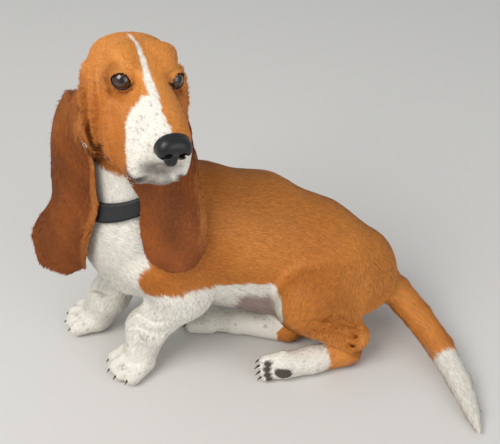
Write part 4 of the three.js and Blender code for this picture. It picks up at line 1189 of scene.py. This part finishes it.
def eye_colours(points, centre, gaze):
    """Colours by the angle from the middle of the pupil: pupil, brown iris with fine spokes, a dark ring,
    the grey-blue white of the eye, and the pink-grey lining that shows where the lower lid hangs."""
    out = (points - centre) / EYE_RADIUS
    angle = np.degrees(np.arccos(np.clip(out @ gaze, -1, 1)))
    spokes = 0.75 + 0.25 * np.cos(np.arctan2(out @ np.cross(gaze, CROWN), out @ CROWN) * 34)
    colours = np.array([0.060, 0.021, 0.009]) * spokes[:, None]
    colours = lay(colours, np.array([0.002, 0.002, 0.002]), mask(angle - 19, 2))
    colours = lay(colours, np.array([0.004, 0.003, 0.003]), mask(52 - angle, 4))
    colours = lay(colours, np.array([0.20, 0.18, 0.19]), mask(62 - angle, 2.5))
    lining = mask(out @ CROWN + 0.6, 0.06) * mask(54 - angle, 3)
    return lay(colours, np.array([0.30, 0.20, 0.21]), lining)


EYE_TURN = {1: (0.84, 0.40, 0.28), -1: (0.84, 0.36, 0.30)}  # gaze forwards, outwards and up
for side, name in ((1, "left_eye"), (-1, "right_eye")):
    centre = head_point(EYE_PLACE[0], EYE_PLACE[1] * side, EYE_PLACE[2])
    forwards, outwards, up = EYE_TURN[side]
    gaze = FORE * forwards + LEFT * side * outwards + CROWN * up
    gaze /= np.linalg.norm(gaze)
    eye_points, eye_faces = ball_grid(centre, EYE_RADIUS, gaze)
    eye = make_piece(name + "ball", eye_points, eye_faces, eye_look)
    paint(eye, eye_colours(eye_points, centre, gaze))
    finish_piece(eye, "eye", name)

# %% [markdown]
# ## Nose
# The nose is a broad pad of dark leather with two round nostrils, each with a slit at its side, and a groove
# below. It is a small field of its own on a fine grid, so that the nostrils keep round edges.

# %% Nose
NOSE_PAD = [((91, 8, -28), (103, 9, -27), (13.5, 17), (11.5, 13), 5),
            ((92, 0, -21), (104, 0, -22), (16, 13), (14, 9), 5),
            ((96, 0, -38), (101, 0, -44), (8, 8), (6, 5), 5)]
nose_middle = head_point(98, 0, -32)
nose_field = Field(nose_middle - 32, nose_middle + 32, 0.6)
for start, end, size0, size1, blend in NOSE_PAD:
    for side in (1, -1):
        nose_field.add(head_limb(start, end, size0, size1, side), blend)
for side in (1, -1):
    nose_field.cut(head_limb((114, 9, -31), (96, 5, -30), (4.2, 3.4), (3, 2.6), side), 2.5)
    nose_field.cut(head_limb((112, 13, -34), (98, 15, -36), (2.4, 1.5), (1.4, 1), side), 2)
nose_field.cut(head_limb((110, 0, -34), (106, 0, -50), (1.0, 1.0), (1.2, 1.2)), 2)
nose = make_piece("nose_pad", *surface_net(nose_field, 0.3), leather)
finish_piece(nose, "nose_leather", "nose")

# %% [markdown]
# ## Claws
# Each toe ends in a short dark claw of horn, which bends down towards the floor.

# %% Claws
def claw_mesh(tip, ahead, size):
    """One claw: oval rings along a line that starts inside the toe, runs forwards by 9 t and bends down by
    7 t squared, with a radius of 2.4 (1 - t) to the power 0.6."""
    t = np.linspace(0, 1, CLAW_RINGS)[:, None]
    middle = tip + ahead * (size * 0.5 + 9 * t) + np.array([0, 0, 1.0]) * (3 - 7 * t**2)
    middle[:, 2] = np.maximum(middle[:, 2], 1.0)
    side = np.cross(ahead, [0, 0, 1.0])
    turn = np.linspace(0, 2 * np.pi, CLAW_AROUND, endpoint=False)[None, :, None]
    oval = side * 0.75 * np.cos(turn) + np.array([0, 0, 1.0]) * np.sin(turn)
    return (middle[:, None] + (2.4 * (1 - t) ** 0.6 + 0.15)[..., None] * oval).reshape(-1, 3)


CLAW_RINGS, CLAW_AROUND = 9, 12
toes = FORE_TOES["left"] + FORE_TOES["right"] + RIGHT_HIND_TOES + LEFT_HIND_TOES
claw_points = []
for start, end, size0, size1, _ in toes:
    ahead = np.array(end, float) - start
    ahead[2] = 0
    claw_points.append(claw_mesh(np.array(end, float), ahead / np.linalg.norm(ahead), size1[1]))
index = np.arange(len(toes) * CLAW_RINGS * CLAW_AROUND).reshape(len(toes), CLAW_RINGS, CLAW_AROUND)
beside = np.roll(index, -1, 2)
claw_faces = np.stack([index[:, :-1], index[:, 1:], beside[:, 1:], beside[:, :-1]], -1).reshape(-1, 4)
claws = make_piece("claws", np.concatenate(claw_points), claw_faces, claw_look)
finish_piece(claws, "nose_leather")

# %% [markdown]
# ## Collar
# A plain black strap of webbing stands on the coat all round the neck, over the line where the skins meet.

# %% Collar
COLLAR_HEIGHT, COLLAR_THICK, COLLAR_CLEAR = 19, 3, 2.6
collar_field = Field((-175, -275, 200), (90, 10, 360), 4.0)
fill_body(collar_field)


def collar_strip(steps=240, rises=7):
    """For each direction round the neck, a strip that stands on the skin found along that ray: the reach
    is halved again and again down to the place where the field is the collar's clearance."""
    side = np.array([1.0, 0, 0]) - COLLAR_AXIS * COLLAR_AXIS[0]
    side /= np.linalg.norm(side)
    front = np.cross(COLLAR_AXIS, side)
    turn = np.linspace(0, 2 * np.pi, steps, endpoint=False)
    ray = side * np.cos(turn)[:, None] + front * np.sin(turn)[:, None]
    height = np.linspace(-1, 1, rises)[None, :, None] * COLLAR_HEIGHT / 2
    foot = COLLAR_MID + COLLAR_AXIS * height + 0 * ray[:, None]
    near, far = np.full((steps, rises), 20.0), np.full((steps, rises), 110.0)
    for _ in range(14):
        mid = (near + far) / 2
        points = foot + ray[:, None] * mid[..., None]
        inside = collar_field.sample(points.reshape(-1, 3)).reshape(mid.shape) < COLLAR_CLEAR
        near, far = np.where(inside, mid, near), np.where(inside, far, mid)
    inner = foot + ray[:, None] * far[..., None]
    outer = foot + ray[:, None] * (far + COLLAR_THICK)[..., None]
    ring = np.concatenate([inner, outer[:, ::-1]], 1)
    n, m = ring.shape[:2]
    index = np.arange(n * m).reshape(n, m)
    quads = np.stack([index, np.roll(index, -1, 1), np.roll(np.roll(index, -1, 1), -1, 0),
                      np.roll(index, -1, 0)], -1).reshape(-1, 4)
    return ring.reshape(-1, 3), quads


collar = make_piece("collar_strap", *collar_strip(), strap_look)
finish_piece(collar, "collar_strap", "collar")

# %% [markdown]
# ## Stage, light and camera
# A pale floor, a large soft light from the upper left, a weaker one from the right and a light sky. The
# camera stands where the photographer stood: above the dog and to its left side.

# %% Floor and lights
CAMERA_AZIMUTH, CAMERA_RISE = np.radians(70), np.radians(40)
CAMERA_AWAY, CAMERA_LIFT = 1.32, 0.1584  # metres from the dog, and above the line to it
LENS, SENSOR = 64.8, 36  # millimetres
BACK = np.array([np.sin(CAMERA_AZIMUTH) * np.cos(CAMERA_RISE), -np.cos(CAMERA_AZIMUTH) * np.cos(CAMERA_RISE),
                 np.sin(CAMERA_RISE)])
RIGHT = np.array([np.cos(CAMERA_AZIMUTH), np.sin(CAMERA_AZIMUTH), 0])
UP = np.cross(BACK, RIGHT)

floor_look = shader("pale floor", (0.62, 0.6, 0.57), 0.8)
floor_points = np.array([(-6000, -6000, 0), (6000, -6000, 0), (6000, 6000, 0), (-6000, 6000, 0)], float)
floor = make_piece("floor", floor_points - SHIFT, [[0, 1, 2, 3]], floor_look)


def area_light(name, place, aim, size, power, colour=(1, 1, 1)):
    """A square soft light at a place in metres, turned towards another."""
    lamp = bpy.data.lights.new(name, "AREA")
    lamp.size, lamp.energy, lamp.color = size, power, colour
    lamp_object = bpy.data.objects.new(name, lamp)
    lamp_object.location = place
    lamp_object.rotation_euler = (Vector(aim) - Vector(place)).to_track_quat("-Z", "Y").to_euler()
    bpy.context.scene.collection.objects.link(lamp_object)


area_light("key light", (0.5, -1.6, 2.2), (0, 0, 0.15), 1.6, 52, (1, 0.98, 0.95))
area_light("fill light", (2.4, 1.2, 1.2), (0, 0, 0.15), 2.2, 26)
world = bpy.data.worlds.new("soft sky")
world.use_nodes = True
world.node_tree.nodes["Background"].inputs["Color"].default_value = (0.9, 0.95, 1, 1)
world.node_tree.nodes["Background"].inputs["Strength"].default_value = 0.55
bpy.context.scene.world = world

print("key and fill light, and a floor of", np.ptp(floor_points, axis=0)[:2].tolist(), "mm")

# %% [markdown]
# ## Camera
# A lens of 64.8 mm on a 36 mm frame, 1.3 m away, looks 40 degrees down from the dog's left front.

# %% Camera
camera = bpy.data.cameras.new("camera")
camera.sensor_width, camera.lens = SENSOR, LENS
camera_object = bpy.data.objects.new("camera", camera)
camera_object.location = CAMERA_AWAY * BACK + CAMERA_LIFT * UP + SHIFT * MM
camera_object.rotation_euler = Matrix(np.column_stack([RIGHT, UP, BACK]).tolist()).to_euler()
camera.clip_start, camera.clip_end = 0.05, 50
print("camera at", np.round(camera_object.location, 3).tolist())
bpy.context.scene.collection.objects.link(camera_object)
bpy.context.scene.camera = camera_object
bpy.context.scene.view_settings.view_transform = "Standard"
